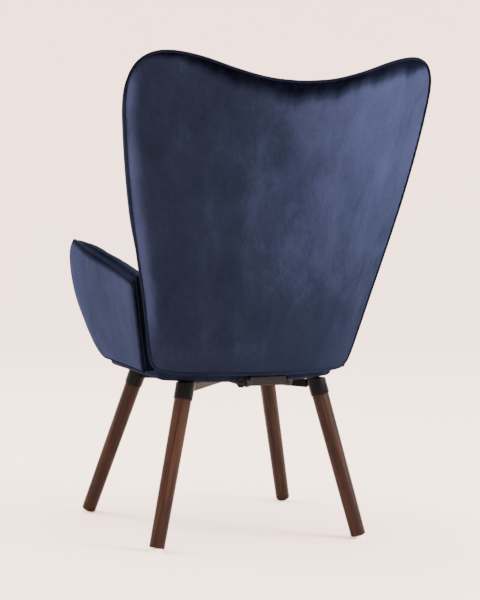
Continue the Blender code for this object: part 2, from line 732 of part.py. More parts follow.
def add_pivot(chair):
    axis = (0, PIVOT_Y, PIVOT_Z), (1, PIVOT_Y, PIVOT_Z)
    half = EAR_INNER + EAR_THICKNESS
    head = -half - GAP
    tip = KNOB_START + 0.012
    bolt = [(0, head - 0.006), (0.0065, head - 0.006), (0.0075, head - 0.005), (0.0075, head),
            (BOLT_RADIUS, head), (BOLT_RADIUS, tip), (0, tip)]
    chair.add("pivot_bolt", turned(bolt, *axis), chair.palette.zinc)
    reach = KNUCKLE_HALF
    bush = [(BOLT_HOLE, -reach), (BUSH_OUTER, -reach), (BUSH_OUTER, reach), (BOLT_HOLE, reach)]
    chair.add("pivot_bush", turned(bush, *axis), chair.palette.bronze, chair.back)
    for name, side in (("left", 1), ("right", -1)):
        near, far = sorted((side * (KNUCKLE_HALF + GAP), side * (EAR_INNER - GAP)))
        washer = [(BOLT_HOLE, near), (WASHER_RADIUS, near), (WASHER_RADIUS, far), (BOLT_HOLE, far)]
        chair.add("friction_washer_" + name, turned(washer, *axis), chair.palette.zinc)


def add_knob(chair):
    """A five-lobed knob whose blind threaded insert runs on the end of the pivot bolt."""
    end = KNOB_LENGTH
    profile = [(0, KNOB_BORE), (BOLT_HOLE, KNOB_BORE), (BOLT_HOLE, 0), (0.0075, 0), (0.0080, 0.0045),
               (KNOB_RADIUS - 0.0010, 0.0050, KNOB_LOBE), (KNOB_RADIUS, 0.0065, KNOB_LOBE),
               (KNOB_RADIUS, end - 0.0025, KNOB_LOBE), (KNOB_RADIUS - 0.0022, end - 0.0004, KNOB_LOBE),
               (0.0050, end), (0, end)]
    start = Vector((KNOB_START, PIVOT_Y, PIVOT_Z))
    made = turned(profile, start, start + Vector((1, 0, 0)), KNOB_SIDES, KNOB_LOBES)
    chair.add("clamp_knob", made, chair.palette.black_plastic, chair.knob)


# Arms


def outer_face(y, z):
    """X of an arm's outer face, which leans out and swells towards the front."""
    belly = smoothstep((0.12 - y) / 0.32) * np.clip(1 - ((z - 0.52) / 0.16) ** 2, 0, None)
    return ARM_FOOT_X + ARM_FLARE * (z - 0.378) + ARM_BELLY * belly


def arm_sides(columns, rows, inset):
    """The four edges of an arm in side view: bottom, top, front and rear, as (y, z)."""
    front = resample(offset(through(ARM_FRONT), -inset), rows)
    top = resample(offset(through(ARM_TOP), -inset), columns)
    top[0] = front[-1] = 0.5 * (top[0] + front[-1])
    low = np.linspace(front[0], ARM_HEEL, columns)
    rear = np.linspace(ARM_HEEL, top[-1], rows)
    return low, top, front, rear


def arm_layer(grid, depth, side):
    """The grid's points this deep inside the arm's outer face; the rear end follows the back's wing."""
    y, z = grid[..., 0], grid[..., 1]
    u = np.linspace(0, 1, grid.shape[1])[None, :] ** 2
    x = outer_face(y, z) - depth
    return np.stack([side * x, y - ARM_REAR_SKEW * depth * u, z], axis=-1)


def arm_depth(u, v):
    """The arm's full thickness, u from its front to its rear and v from its foot to its top."""
    return ARM_THICKNESS + ARM_TOP_EXTRA * v - ARM_FRONT_LESS * v * (1 - smoothstep(u / 0.3))


def add_strip(chair, name, side):
    """The boxing strip over the arm's top and down its front edge."""
    edges = []
    for inset in (0.0, ARM_STRIP - GAP):
        _, top, front, _ = arm_sides(ARM_COLUMNS, ARM_ROWS, inset)
        edges.append(np.vstack([top[::-1], front[::-1][1:]]))
    along = np.linspace(1, 0, ARM_COLUMNS)
    upward = np.linspace(1, 0, ARM_ROWS)
    places = [(u, 1.0) for u in along] + [(0.0, v) for v in upward[1:]]
    made = bmesh.new()
    rings = []
    for outer, inner, (u, v) in zip(*edges, places):
        depth = arm_depth(u, v)
        ring = []
        for (y, z), d in ((outer, 0.002), (inner, 0.0), (inner, depth), (outer, depth - 0.002)):
            ring.append(made.verts.new((side * (outer_face(y, z) - d), y - ARM_REAR_SKEW * d * u**2, z)))
        rings.append(ring)
    for a, b in zip(rings, rings[1:]):
        for k in range(4):
            n = (k + 1) % 4
            made.faces.new((a[k], a[n], b[n], b[k]))
    made.faces.new(rings[0])
    made.faces.new(rings[-1])
    chair.add("arm_strip_" + name, made, chair.palette.velvet)


def add_arm(chair, name, side, cover, rail):
    grid = patch(*arm_sides(ARM_COLUMNS, ARM_ROWS, ARM_STRIP))
    u = np.linspace(0, 1, ARM_COLUMNS)[None, :]
    v = np.linspace(0, 1, ARM_ROWS)[:, None]
    chair.add("arm_outer_panel_" + name,
              slab(arm_layer(grid, 0.0, side), arm_layer(grid, ARM_PANEL, side)), chair.palette.velvet)
    board_face = ARM_PANEL + GAP + ARM_BOARD
    board = chair.add("arm_board_" + name,
                      slab(arm_layer(grid, ARM_PANEL + GAP, side), arm_layer(grid, board_face, side)),
                      chair.palette.plywood)
    pad = chair.add("arm_inner_pad_" + name,
                    slab(arm_layer(grid, board_face + GAP, side), arm_layer(grid, arm_depth(u, v), side)),
                    chair.palette.velvet)
    add_strip(chair, name, side)
    head = SEAT_HALF_WIDTH - COVER_SIDE - RAIL_GAP - RAIL_WIDTH - GAP
    tip = ARM_FOOT_X - ARM_PANEL - 0.004
    for place, y in zip(("front", "rear"), ARM_BOLT_Y):
        at = (y, ARM_BOLT_Z)
        hole = rod((side * (head - 0.004), *at), (side * (tip + 0.002), *at), BOLT_HOLE, BOLT_SIDES)
        drill = chair.cutter(f"arm_bolt_drill_{name}_{place}", hole)
        for piece in (board, pad, cover, rail):
            combine(piece, drill, "DIFFERENCE")
        bolt = [(0, head - 0.004), (0.0062, head - 0.004), (0.0070, head - 0.003), (0.0070, head),
                (BOLT_RADIUS, head), (BOLT_RADIUS, tip), (0, tip)]
        screw = turned(bolt, (0, *at), (side, *at), BOLT_SIDES)
        chair.add(f"arm_bolt_{name}_{place}", screw, chair.palette.zinc)


def main():
    clear_scene()
    chair = Chair()
    for height, foot, mouth in (("front", FRONT_FOOT, FRONT_MOUTH), ("rear", REAR_FOOT, REAR_MOUTH)):
        for name, side in (("left", 1), ("right", -1)):
            add_leg(chair, f"{height}_{name}", foot, mouth, side)
            add_channel(chair, f"{height}_{name}", foot, mouth, side)
    cover, cloth, seat_board, rails = add_seat(chair)
    add_underframe(chair, seat_board, cloth)
    board, pad = add_back(chair)
    add_bracket(chair)
    add_pivot(chair)
    add_bar(chair, board, pad)
    add_knob(chair)
    for name, side in (("left", 1), ("right", -1)):
        add_arm(chair, name, side, cover, rails[name])


main()
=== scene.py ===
import math

import bmesh
import bpy
import numpy as np
from mathutils import Matrix, Vector
from mathutils.kdtree import KDTree


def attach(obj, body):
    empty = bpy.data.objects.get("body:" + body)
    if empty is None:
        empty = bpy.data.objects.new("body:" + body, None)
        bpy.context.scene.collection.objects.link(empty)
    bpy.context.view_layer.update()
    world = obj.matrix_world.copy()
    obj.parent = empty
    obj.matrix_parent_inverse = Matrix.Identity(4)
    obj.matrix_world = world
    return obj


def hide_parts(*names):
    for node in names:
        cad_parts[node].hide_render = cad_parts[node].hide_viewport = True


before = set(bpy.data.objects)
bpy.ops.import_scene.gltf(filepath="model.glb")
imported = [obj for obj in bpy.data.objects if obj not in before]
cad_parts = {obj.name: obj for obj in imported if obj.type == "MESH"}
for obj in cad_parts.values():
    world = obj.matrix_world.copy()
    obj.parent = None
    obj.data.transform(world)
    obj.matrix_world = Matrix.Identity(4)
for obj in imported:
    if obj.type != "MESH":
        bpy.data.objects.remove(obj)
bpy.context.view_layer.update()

# All lengths are in metres. Outlines are measured from midway between the feet, like the CAD's, and
# MIDDLE_Y moves them to its origin.
MIDDLE_Y = 0.116

# Back: half its outline as (x, z), and the bend of its rear face.
BACK_BOTTOM = 0.378
BACK_TOE_Y = 0.326
BACK_LEAN = 0.297
WING_SWEEP = 0.112
WING_SWEEP_LOW = 0.123
WING_POWER = 2.2
TOP_CURL = 0.012
TOP_CURL_HEIGHT = 0.11
BACK_TOE = [(0.0, 0.381), (0.09, 0.381), (0.181, 0.381), (0.2195, 0.3870)]
BACK_SIDE = [(0.2195, 0.3870), (0.2315, 0.415), (0.2415, 0.462), (0.2575, 0.54), (0.276, 0.62),
             (0.2985, 0.72), (0.3135, 0.80), (0.3255, 0.88), (0.333, 0.95), (0.3305, 1.0), (0.310, 1.033)]
BACK_CREST = [(0.310, 1.033), (0.271, 1.0435), (0.21, 1.032), (0.14, 1.008), (0.07, 0.990), (0.0, 0.984)]
BACK_SOFTNESS = 0.012
CREST_DIP_Z = 0.984
CREST_RISE = 0.060
CREST_EAR_X = 0.271
OUTER_PANEL = 0.013

# Inner back: how thick it is at its rim, above the seat, in the middle and under the crest, and the
# buttons as (z, places across).
RIM_LOW = 0.031
RIM_HIGH = 0.048
PAD_LOW = 0.047
PAD_FULL = 0.112
PAD_HIGH = 0.088
PAD_SHRINK = 0.982
PAD_CENTRE = (0.0, 0.70)
PAD_GAP = 0.0008
BUTTON_ROWS = [(0.640, (-0.062, 0.062)), (0.725, (-0.128, 0.0, 0.128)), (0.810, (-0.064, 0.064)),
               (0.895, (-0.132, 0.0, 0.132))]
BUTTON_PROFILE = [(0, 0), (0.0100, 0), (0.0115, 0.0016), (0.0115, 0.0032), (0.0100, 0.0060),
                  (0.0062, 0.0080), (0.0024, 0.0089), (0, 0.0090)]
BUTTON_SIDES = 24
BUTTON_PROUD = 0.0015
TUFT_DEPTH = 0.024
TUFT_SPREAD = 0.024
PLEAT_DEPTH = 0.0125
PLEAT_SPREAD = 0.0085
PLEAT_REACH = 0.115
PLEAT_BELOW = -0.10
PLEAT_ABOVE = 0.065
CHANNEL_DEPTH = 0.008
CHANNEL_SPREAD = 0.006

# Piping.
PIPING = 0.0030
FINE_PIPING = 0.0026
PIPING_SIDES = 10

# Arms: their side view as (y, z), and the lean and swell of the outer face.
ARM_HEEL = (0.172, 0.377)
ARM_SHOULDER = (0.228, 0.577)
ARM_TOP = [(-0.232, 0.649), (-0.208, 0.6565), (-0.12, 0.641), (0.05, 0.610), ARM_SHOULDER]
ARM_FRONT = [(-0.132, 0.3860), (-0.156, 0.3945), (-0.176, 0.413), (-0.191, 0.441), (-0.208, 0.478),
             (-0.232, 0.520), (-0.2465, 0.562), (-0.2535, 0.605), (-0.249, 0.633), (-0.232, 0.649)]
ARM_FOOT_X = 0.238
ARM_FLARE = 0.19
ARM_BELLY = 0.022
ARM_REAR_SKEW = 0.74
ARM_THICKNESS = 0.034
ARM_TOP_EXTRA = 0.015
ARM_FRONT_LESS = 0.010
ARM_PANEL = 0.010
ARM_GAP = 0.0006
ARM_SIDE_STEPS = 8

# Seat: its plan, the padded base and the cushion on it.
SEAT_HALF_WIDTH = 0.2015
SEAT_FRONT = -0.275
SEAT_CORNER = 0.055
SEAT_REAR = 0.272
SEAT_REAR_HALF = 0.223
SEAT_REAR_CORNER = 0.012
SEAT_POINTS = 220
UNDERSIDE_Z = 0.357
BASE_CAVITY = 0.0118
BASE_CAVITY_TOP = 0.415
BASE_TOP = 0.432
BASE_SWELL = 0.0022
CUSHION_BOTTOM = 0.4335
CUSHION_SEAM = 0.466
CUSHION_TOP = 0.474
CUSHION_NOSE = 0.015
CUSHION_SIDE_GAP = 0.003
CUSHION_SWELL = 0.001

# Swelling of the cushion as cloth.
VOXEL = 0.005
HELD_NEAR_SEAM = 0.006
PRESSURE = 4.0
CLOTH_STEPS = 20
SWELL_CAP = 0.022

# Legs: the middle of each foot and of each socket's mouth as (x, y), x to the sitter's left.
FEET = {"front": (0.252, -0.264), "rear": (0.235, 0.264)}
MOUTHS = {"front": (0.1677, -0.1518), "rear": (0.1600, 0.2165)}
MOUTH_Z = 0.319
GLIDE_HEIGHT = 0.0060
LEG_LIFT = 0.0015
LEG_FOOT_RADIUS = 0.0169
LEG_TOP_RADIUS = 0.0190
LEG_FOOT_EDGE = [(0.0151, 0.0), (0.0162, 0.0006), (0.0168, 0.0022), (LEG_FOOT_RADIUS, 0.004)]
LEG_IN_SOCKET = 0.02
SLEEVE_RADIUS = 0.0210
SLEEVE_BORE = 0.0193
SLEEVE_GAP = 0.0004
SHARP_EDGE = math.radians(40)

# How light the velvet is, from 0 to 1: the tone of its nap, with painted light and shade on some parts.
NAP_BACK = 0.42
NAP_BACK_SIDE = 0.30
NAP_BACK_PIPING = 0.34
NAP_INNER_BACK = 0.52
NAP_INNER_SIDE = 0.40
# Painted shade: how much darker the inner back's face gets per metre that its tufting sinks in.
PAINTED_SHADE_BY_DEPTH = 22
NAP_BUTTON = 0.56
NAP_ARM = 0.63
NAP_ARM_SIDE = 0.35
NAP_ARM_PAD = 0.42
# Painted shade: the arm's piping is kept dark, as the seam along the arm's top lies in shade.
NAP_ARM_PIPING_SHADED = 0.14
NAP_BASE = 0.40
NAP_CUSHION = 0.45
NAP_CUSHION_SWOLLEN = 0.50
NAP_FINE_PIPING = 0.42

# Colours, linear.
VELVET_DARK = (0.0006, 0.0008, 0.0024)
VELVET_MIDDLE = (0.0070, 0.0104, 0.0216)
VELVET_LIGHT = (0.0272, 0.0366, 0.0862)
VELVET_SHEEN = (0.36, 0.48, 0.95, 1.0)
WALNUT_DARK = (0.0024, 0.0013, 0.0010)
WALNUT_MIDDLE = (0.0118, 0.0052, 0.0033)
WALNUT_LIGHT = (0.0350, 0.0150, 0.0090)
BLACK_COAT = (0.0016, 0.0017, 0.0018)
GREY_COAT = (0.0092, 0.0094, 0.0100)
COAT_SHINE = (0.72, 0.86, 1.0, 1.0)
ZINC = (0.020, 0.021, 0.023)
BRONZE = (0.42, 0.26, 0.11)
NYLON = (0.72, 0.69, 0.64)
BLACK_PLASTIC = (0.0012, 0.0013, 0.0015)
DUST_CLOTH_DARK = (0.006, 0.006, 0.007)
DUST_CLOTH_LIGHT = (0.022, 0.022, 0.024)
PLY_DARK = (0.36, 0.23, 0.12)
PLY_LIGHT = (0.58, 0.42, 0.25)
PAPER_DARK = (0.925, 0.775, 0.695)
PAPER_LIGHT = (0.935, 0.785, 0.705)

# The finish of every CAD node that stays, by how its name starts, and the nodes whose edges are eased.
CARRIED = {
    "nylon": ("glide_",),
    "zinc": ("leg_bolt_", "seat_bolt_", "arm_bolt_", "back_bolt_", "pivot_bolt", "friction_washer_"),
    "black_steel": ("underframe_channel_", "hub_plate"),
    "grey_coat": ("hinge_bracket", "back_bar"),
    "plywood": ("seat_board", "seat_rail_", "back_board"),
    "dust_cloth": ("dust_cover",),
    "bronze": ("pivot_bush",),
    "black_plastic": ("clamp_knob",),
}
EASED = ("underframe_channel_", "hub_plate", "hinge_bracket", "back_bar", "clamp_knob")
EASE_WIDTH = 0.0006

# Room: a round floor that curves up into a wall, its light, and the camera.
FLOOR_RADIUS = 5.5
COVE_RADIUS = 3.5
WALL_RADIUS = 9.2
WALL_HEIGHT = 7.0
ROOM_SIDES = 96
SKY_COLOUR = (1.0, 0.93, 0.90, 1.0)
SKY_STRENGTH = 4.7
LIGHT_TARGET = (0, 0, 0.6)
CAMERA_PLACE = (1.2708, 3.6835, 0.7351)
CAMERA_TURN = 19.1155
CAMERA_DIP = 3.06
LENS = 104.39
SENSOR = 36.0


# Curves and grids


def smoothstep(value):
    value = np.clip(value, 0.0, 1.0)
    return value * value * (3 - 2 * value)


def bell(value, centre, width):
    return np.exp(-(((value - centre) / width) ** 2))


def through(points, steps=24):
    """A smooth curve through the points (Catmull-Rom), as a dense polyline."""
    points = np.asarray(points, float)
    padded = np.vstack([2 * points[0] - points[1], points, 2 * points[-1] - points[-2]])
    curve = []
    for i in range(1, len(padded) - 2):
        a, b, c, d = padded[i - 1 : i + 3]
        for t in np.arange(steps) / steps:
            curve.append(
                0.5 * (2 * b + (c - a) * t + (2 * a - 5 * b + 4 * c - d) * t**2
                       + (3 * b - a - 3 * c + d) * t**3)
            )
    curve.append(points[-1])
    return np.array(curve)


def resample(curve, places):
    """The curve at these places along it, each 0 to 1, or at this many evenly spaced ones."""
    lengths = np.concatenate([[0], np.cumsum(np.linalg.norm(np.diff(curve, axis=0), axis=1))])
    if isinstance(places, int):
        places = np.linspace(0, 1, places)
    wanted = lengths[-1] * places
    return np.column_stack([np.interp(wanted, lengths, curve[:, k]) for k in range(curve.shape[1])])


def closer_to_ends(count, share=0.35):
    """Places from 0 to 1 that crowd towards both ends."""
    even = np.linspace(0, 1, count)
    return (1 - share) * even + share * 0.5 * (1 - np.cos(math.pi * even))


def patch(low, high, left, right, u, v):
    """A grid of points spanned by four edge curves (a Coons patch), sampled at u across and v upwards."""
    u = u[None, :, None]
    v = v[:, None, None]
    across = (1 - v) * low[None] + v * high[None]
    upward = (1 - u) * left[:, None] + u * right[:, None]
    corners = (1 - v) * ((1 - u) * low[0] + u * low[-1]) + v * ((1 - u) * high[0] + u * high[-1])
    return across + upward - corners


def rim_of(grid):
    """The grid's edge as one closed ring: along the first row, up the last column, and back."""
    return np.concatenate([grid[0], grid[1:, -1], grid[-1, -2::-1], grid[-2:0:-1, 0]])


def outward_in_plane(ring):
    """Unit vectors that point out of a ring of 2-D points, which runs anticlockwise."""
    along = np.roll(ring, -1, axis=0) - np.roll(ring, 1, axis=0)
    along /= np.linalg.norm(along, axis=1)[:, None]
    return np.column_stack([along[:, 1], -along[:, 0]])


def edge_distance(grid, ring):
    """How far each of the grid's 2-D points is from a closed ring."""
    dense = resample(np.vstack([ring, ring[:1]]), 900)
    flat = grid.reshape(-1, 2)
    nearest = np.empty(len(flat))
    for start in range(0, len(flat), 2000):
        part = flat[start : start + 2000]
        gaps = part[:, None, :] - dense[None, :, :]
        nearest[start : start + 2000] = np.sqrt((gaps**2).sum(axis=2).min(axis=1))
    return nearest.reshape(grid.shape[:-1])


def rolled(distance, radius):
    """A quarter-round edge: 0 at the edge and 1 from this far inside it."""
    inside = 1 - np.clip(distance / radius, 0, 1)
    return np.sqrt(1 - inside**2)


# Meshes


def set_nap_and_light(mesh, nap_and_light):
    """Stores how light the velvet is at each point, its nap with any painted light and shade: one number
    for all of them, or one each.
    """
    values = np.array(np.broadcast_to(nap_and_light, len(mesh.vertices)), np.float32)
    mesh.attributes.new("nap_and_light", "FLOAT", "POINT").data.foreach_set("value", values)


def mesh_object(name, points, faces, body, finish, nap_and_light=None):
    """A smooth mesh piece in the frame's metres, riding on a body."""
    mesh = bpy.data.meshes.new(name)
    mesh.from_pydata([tuple(p) for p in np.asarray(points, float)], [], [tuple(f) for f in faces])
    mesh.update()
    made = bmesh.new()
    made.from_mesh(mesh)
    bmesh.ops.recalc_face_normals(made, faces=made.faces)
    made.to_mesh(mesh)
    made.free()
    mesh.shade_smooth()
    if nap_and_light is not None:
        set_nap_and_light(mesh, nap_and_light)
    obj = bpy.data.objects.new(name, mesh)
    bpy.context.scene.collection.objects.link(obj)
    mesh.materials.append(finish)
    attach(obj, body)
    return obj


def to_frame(points):
    """Moves points from the chair's own lengths to the frame."""
    return np.asarray(points, float) - np.array([0, MIDDLE_Y, 0])


def grid_faces(rows, columns, start, flip=False):
    faces = []
    for i in range(rows - 1):
        for j in range(columns - 1):
            a = start + i * columns + j
            quad = (a, a + 1, a + columns + 1, a + columns)
            faces.append(quad[::-1] if flip else quad)
    return faces


def rim_indices(rows, columns):
    order = np.arange(rows * columns).reshape(rows, columns)
    return list(rim_of(order[..., None])[:, 0])


def boxed(near, far, steps=1, bulge=None):
    """A closed solid between two grids. Its side has this many steps and swells outwards by bulge(t)
    metres, t from 0 at the near grid to 1 at the far one. Returns points and faces."""
    rows, columns = near.shape[:2]
    points = list(near.reshape(-1, 3)) + list(far.reshape(-1, 3))
    faces = grid_faces(rows, columns, 0, flip=True) + grid_faces(rows, columns, rows * columns)
    near_rim, far_rim = rim_of(near), rim_of(far)
    along = np.roll(near_rim, -1, axis=0) - np.roll(near_rim, 1, axis=0)
    outward = np.cross(along, far_rim - near_rim)
    outward /= np.linalg.norm(outward, axis=1)[:, None] + 1e-12
    centre = near_rim.mean(axis=0)
    if ((near_rim - centre) * outward).sum() < 0:
        outward = -outward
    rings = [rim_indices(rows, columns)]
    for k in range(1, steps):
        t = k / steps
        ring = (1 - t) * near_rim + t * far_rim + outward * np.reshape(bulge(t), (-1, 1))
        rings.append(list(range(len(points), len(points) + len(ring))))
        points += list(ring)
    rings.append([rows * columns + i for i in rim_indices(rows, columns)])
    count = len(near_rim)
    for a, b in zip(rings, rings[1:]):
        for k in range(count):
            n = (k + 1) % count
            faces.append((a[k], a[n], b[n], b[k]))
    return np.array(points), faces


def tube(path, radius, sides=PIPING_SIDES):
    """Points and faces of a round cord along a closed path of 3-D points."""
    along = np.roll(path, -1, axis=0) - np.roll(path, 1, axis=0)
    along /= np.linalg.norm(along, axis=1)[:, None]
    side = np.cross(along[0], [0.3, 0.2, 1.0])
    side /= np.linalg.norm(side)
    points = []
    for place, direction in zip(path, along):
        side = side - direction * side.dot(direction)
        side /= np.linalg.norm(side)
        other = np.cross(direction, side)
        for k in range(sides):
            angle = 2 * math.pi * k / sides
            points.append(place + radius * (math.cos(angle) * side + math.sin(angle) * other))
    twist = int(np.argmin([np.linalg.norm(points[-sides] - points[k]) for k in range(sides)]))
    faces = []
    count = len(path)
    for i in range(count):
        n = (i + 1) % count
        shift = twist if n == 0 else 0
        for k in range(sides):
            m = (k + 1) % sides
            faces.append((i * sides + k, i * sides + m, n * sides + (m + shift) % sides,
                          n * sides + (k + shift) % sides))
    return points, faces


def turned(profile, start, end, sides=48):
    """Points and faces of a solid of revolution. The profile of (radius, height) starts and ends on
    the axis, or else closes on itself."""
    axis = Vector(end) - Vector(start)
    place = Matrix.Translation(Vector(start)) @ axis.to_track_quat("Z", "Y").to_matrix().to_4x4()
    points, rings, faces = [], [], []
    for radius, height in profile:
        spots = 1 if radius == 0 else sides
        rings.append(list(range(len(points), len(points) + spots)))
        for k in range(spots):
            angle = 2 * math.pi * k / sides
            points.append(place @ Vector((radius * math.cos(angle), radius * math.sin(angle), height)))
    pairs = list(zip(rings, rings[1:]))
    if len(rings[0]) > 1:
        pairs.append((rings[-1], rings[0]))
    for a, b in pairs:
        for k in range(sides):
            n = (k + 1) % sides
            if len(a) == 1:
                faces.append((a[0], b[k], b[n]))
            elif len(b) == 1:
                faces.append((a[k], b[0], a[n]))
            else:
                faces.append((a[k], b[k], b[n], a[n]))
    return np.array([tuple(p) for p in points]), faces


def add_piping(finishes, name, body, path, radius, nap_and_light):
    """A velvet-covered cord along a seam."""
    points, faces = tube(path, radius)
    return mesh_object(name, points, faces, body, finishes["piping"], nap_and_light)


def stacked(outline_at, levels):
    """A solid of outlines, each (inset, z), closed by a fan at both ends."""
    rings = [outline_at(inset, z) for inset, z in levels]
    count = len(rings[0])
    points = np.vstack(rings + [[rings[0].mean(axis=0)], [rings[-1].mean(axis=0)]])
    faces = []
    for i in range(len(rings) - 1):
        for k in range(count):
            n = (k + 1) % count
            faces.append((i * count + k, i * count + n, (i + 1) * count + n, (i + 1) * count + k))
    bottom, top = len(points) - 2, len(points) - 1
    last = (len(rings) - 1) * count
    for k in range(count):
        n = (k + 1) % count
        faces.append((n, k, bottom))
        faces.append((last + k, last + n, top))
    return points, faces


# Materials


class Finish:
    """A Principled material and the small tools that build its nodes."""

    def __init__(self, name, roughness=0.5, metallic=0.0):
        self.material = bpy.data.materials.new(name)
        self.material.use_nodes = True
        self.tree = self.material.node_tree
        self.shader = self.tree.nodes["Principled BSDF"]
        self.shader.inputs["Metallic"].default_value = metallic
        self.shader.inputs["Roughness"].default_value = roughness
        self.normal = None

    def fixed(self, **sockets):
        for name, value in sockets.items():
            self.shader.inputs[name.replace("_", " ")].default_value = value
        return self

    def feed(self, socket, value):
        if isinstance(value, bpy.types.NodeSocket):
            self.tree.links.new(value, socket)
        else:
            socket.default_value = value

    def coordinates(self, scale=(1, 1, 1), attribute=None):
        if attribute:
            source = self.tree.nodes.new("ShaderNodeAttribute")
            source.attribute_name = attribute
            vector = source.outputs["Vector"]
        else:
            vector = self.tree.nodes.new("ShaderNodeTexCoord").outputs["Object"]
        mapping = self.tree.nodes.new("ShaderNodeMapping")
        mapping.inputs["Scale"].default_value = scale
        self.tree.links.new(vector, mapping.inputs["Vector"])
        return mapping.outputs["Vector"]

    def attribute(self, name):
        source = self.tree.nodes.new("ShaderNodeAttribute")
        source.attribute_name = name
        return source.outputs["Fac"]

    def noise(self, vector, scale, detail=2.0, roughness=0.5, distortion=0.0):
        node = self.tree.nodes.new("ShaderNodeTexNoise")
        self.tree.links.new(vector, node.inputs["Vector"])
        node.inputs["Scale"].default_value = scale
        node.inputs["Detail"].default_value = detail
        node.inputs["Roughness"].default_value = roughness
        node.inputs["Distortion"].default_value = distortion
        return node.outputs["Fac"]

    def math(self, operation, a, b=0.0, clamp=False):
        node = self.tree.nodes.new("ShaderNodeMath")
        node.operation = operation
        node.use_clamp = clamp
        self.feed(node.inputs[0], a)
        self.feed(node.inputs[1], b)
        return node.outputs[0]

    def scaled(self, value, low, high, to_low, to_high):
        node = self.tree.nodes.new("ShaderNodeMapRange")
        self.feed(node.inputs["Value"], value)
        limits = {"From Min": low, "From Max": high, "To Min": to_low, "To Max": to_high}
        for name, number in limits.items():
            node.inputs[name].default_value = number
        return node.outputs["Result"]

    def ramp(self, value, stops):
        node = self.tree.nodes.new("ShaderNodeValToRGB")
        self.feed(node.inputs["Fac"], value)
        elements = node.color_ramp.elements
        while len(elements) < len(stops):
            elements.new(0.5)
        for element, (place, colour) in zip(elements, stops):
            element.position = place
            element.color = (*colour, 1.0)
        return node.outputs["Color"]

    def bump(self, height, strength, distance):
        node = self.tree.nodes.new("ShaderNodeBump")
        node.inputs["Strength"].default_value = strength
        node.inputs["Distance"].default_value = distance
        self.tree.links.new(height, node.inputs["Height"])
        if self.normal is not None:
            self.tree.links.new(self.normal, node.inputs["Normal"])
        self.normal = node.outputs["Normal"]

    def done(self, colour=None, roughness=None):
        if colour is not None:
            self.feed(self.shader.inputs["Base Color"], colour)
        if roughness is not None:
            self.feed(self.shader.inputs["Roughness"], roughness)
        if self.normal is not None:
            self.tree.links.new(self.normal, self.shader.inputs["Normal"])
        return self.material


def velvet(name, stretch=(1, 1, 0.22), lighter=0.0):
    """Cut-pile velvet: brushed streaks and patches in the nap, a fine pile and a soft glow at edges."""
    finish = Finish(name, roughness=0.9)
    finish.fixed(Sheen_Weight=0.07, Sheen_Roughness=0.35, Sheen_Tint=VELVET_SHEEN, Specular_IOR_Level=0.0)
    streaks = finish.noise(finish.coordinates(stretch), 22.0, 5.0, 0.62, 0.6)
    clouds = finish.noise(finish.coordinates(), 9.0, 3.0, 0.5, 0.3)
    crush = finish.noise(finish.coordinates((1, 1, 0.5)), 160.0, 3.0, 0.6)
    pile = finish.noise(finish.coordinates(), 1500.0, 2.0, 0.7)
    # The stored tone is each piece's nap with its painted light and shade.
    tone = finish.attribute("nap_and_light")
    tone = finish.math("ADD", tone, finish.scaled(streaks, 0.3, 0.7, -0.065 + lighter, 0.065 + lighter))
    tone = finish.math("ADD", tone, finish.scaled(clouds, 0.3, 0.7, -0.05, 0.05))
    tone = finish.math("ADD", tone, finish.scaled(crush, 0.3, 0.7, -0.035, 0.035))
    tone = finish.math("ADD", tone, finish.scaled(pile, 0.3, 0.7, -0.03, 0.03), clamp=True)
    colour = finish.ramp(tone, [(0.0, VELVET_DARK), (0.45, VELVET_MIDDLE), (1.0, VELVET_LIGHT)])
    finish.bump(pile, 0.35, 0.0004)
    finish.bump(crush, 0.25, 0.0012)
    finish.bump(clouds, 0.20, 0.006)
    return finish.done(colour, finish.scaled(crush, 0.3, 0.7, 0.95, 0.78))


def walnut():
    """Dark stained, lacquered walnut whose grain runs along each leg."""
    finish = Finish("walnut", roughness=0.4)
    finish.fixed(Coat_Weight=0.02, Coat_Roughness=0.3, Specular_IOR_Level=0.08)
    lengthwise = finish.coordinates((1, 1, 0.045), "grain")
    figure = finish.noise(lengthwise, 75.0, 4.0, 0.6, 1.4)
    fibres = finish.noise(finish.coordinates((1, 1, 0.02), "grain"), 620.0, 3.0, 0.6)
    pores = finish.noise(finish.coordinates((1, 1, 0.05), "grain"), 1100.0, 1.0, 0.5)
    broad = finish.scaled(figure, 0.25, 0.75, 0.0, 0.75)
    fine = finish.scaled(fibres, 0.3, 0.7, 0.0, 0.25)
    tone = finish.math("ADD", broad, fine)
    colour = finish.ramp(tone, [(0.0, WALNUT_DARK), (0.5, WALNUT_MIDDLE), (1.0, WALNUT_LIGHT)])
    finish.bump(pores, 0.20, 0.0003)
    finish.bump(fibres, 0.12, 0.0004)
    return finish.done(colour, finish.scaled(figure, 0.3, 0.7, 0.48, 0.34))


def coated_steel(name, colour, roughness):
    """Powder-coated steel: a fine orange-peel skin with faint rubs."""
    finish = Finish(name, roughness)
    finish.fixed(Specular_IOR_Level=0.06, Specular_Tint=COAT_SHINE)
    skin = finish.noise(finish.coordinates(), 900.0, 2.0, 0.5)
    rubs = finish.noise(finish.coordinates((1, 1, 0.4)), 60.0, 5.0, 0.65)
    darker = tuple(0.75 * c for c in colour)
    lighter = tuple(1.5 * c for c in colour)
    finish.bump(skin, 0.18, 0.0002)
    worn = finish.scaled(rubs, 0.3, 0.72, 0.0, 1.0)
    shade = finish.ramp(worn, [(0.0, darker), (0.7, colour), (1.0, lighter)])
    return finish.done(shade, finish.scaled(rubs, 0.3, 0.7, roughness + 0.07, roughness - 0.07))


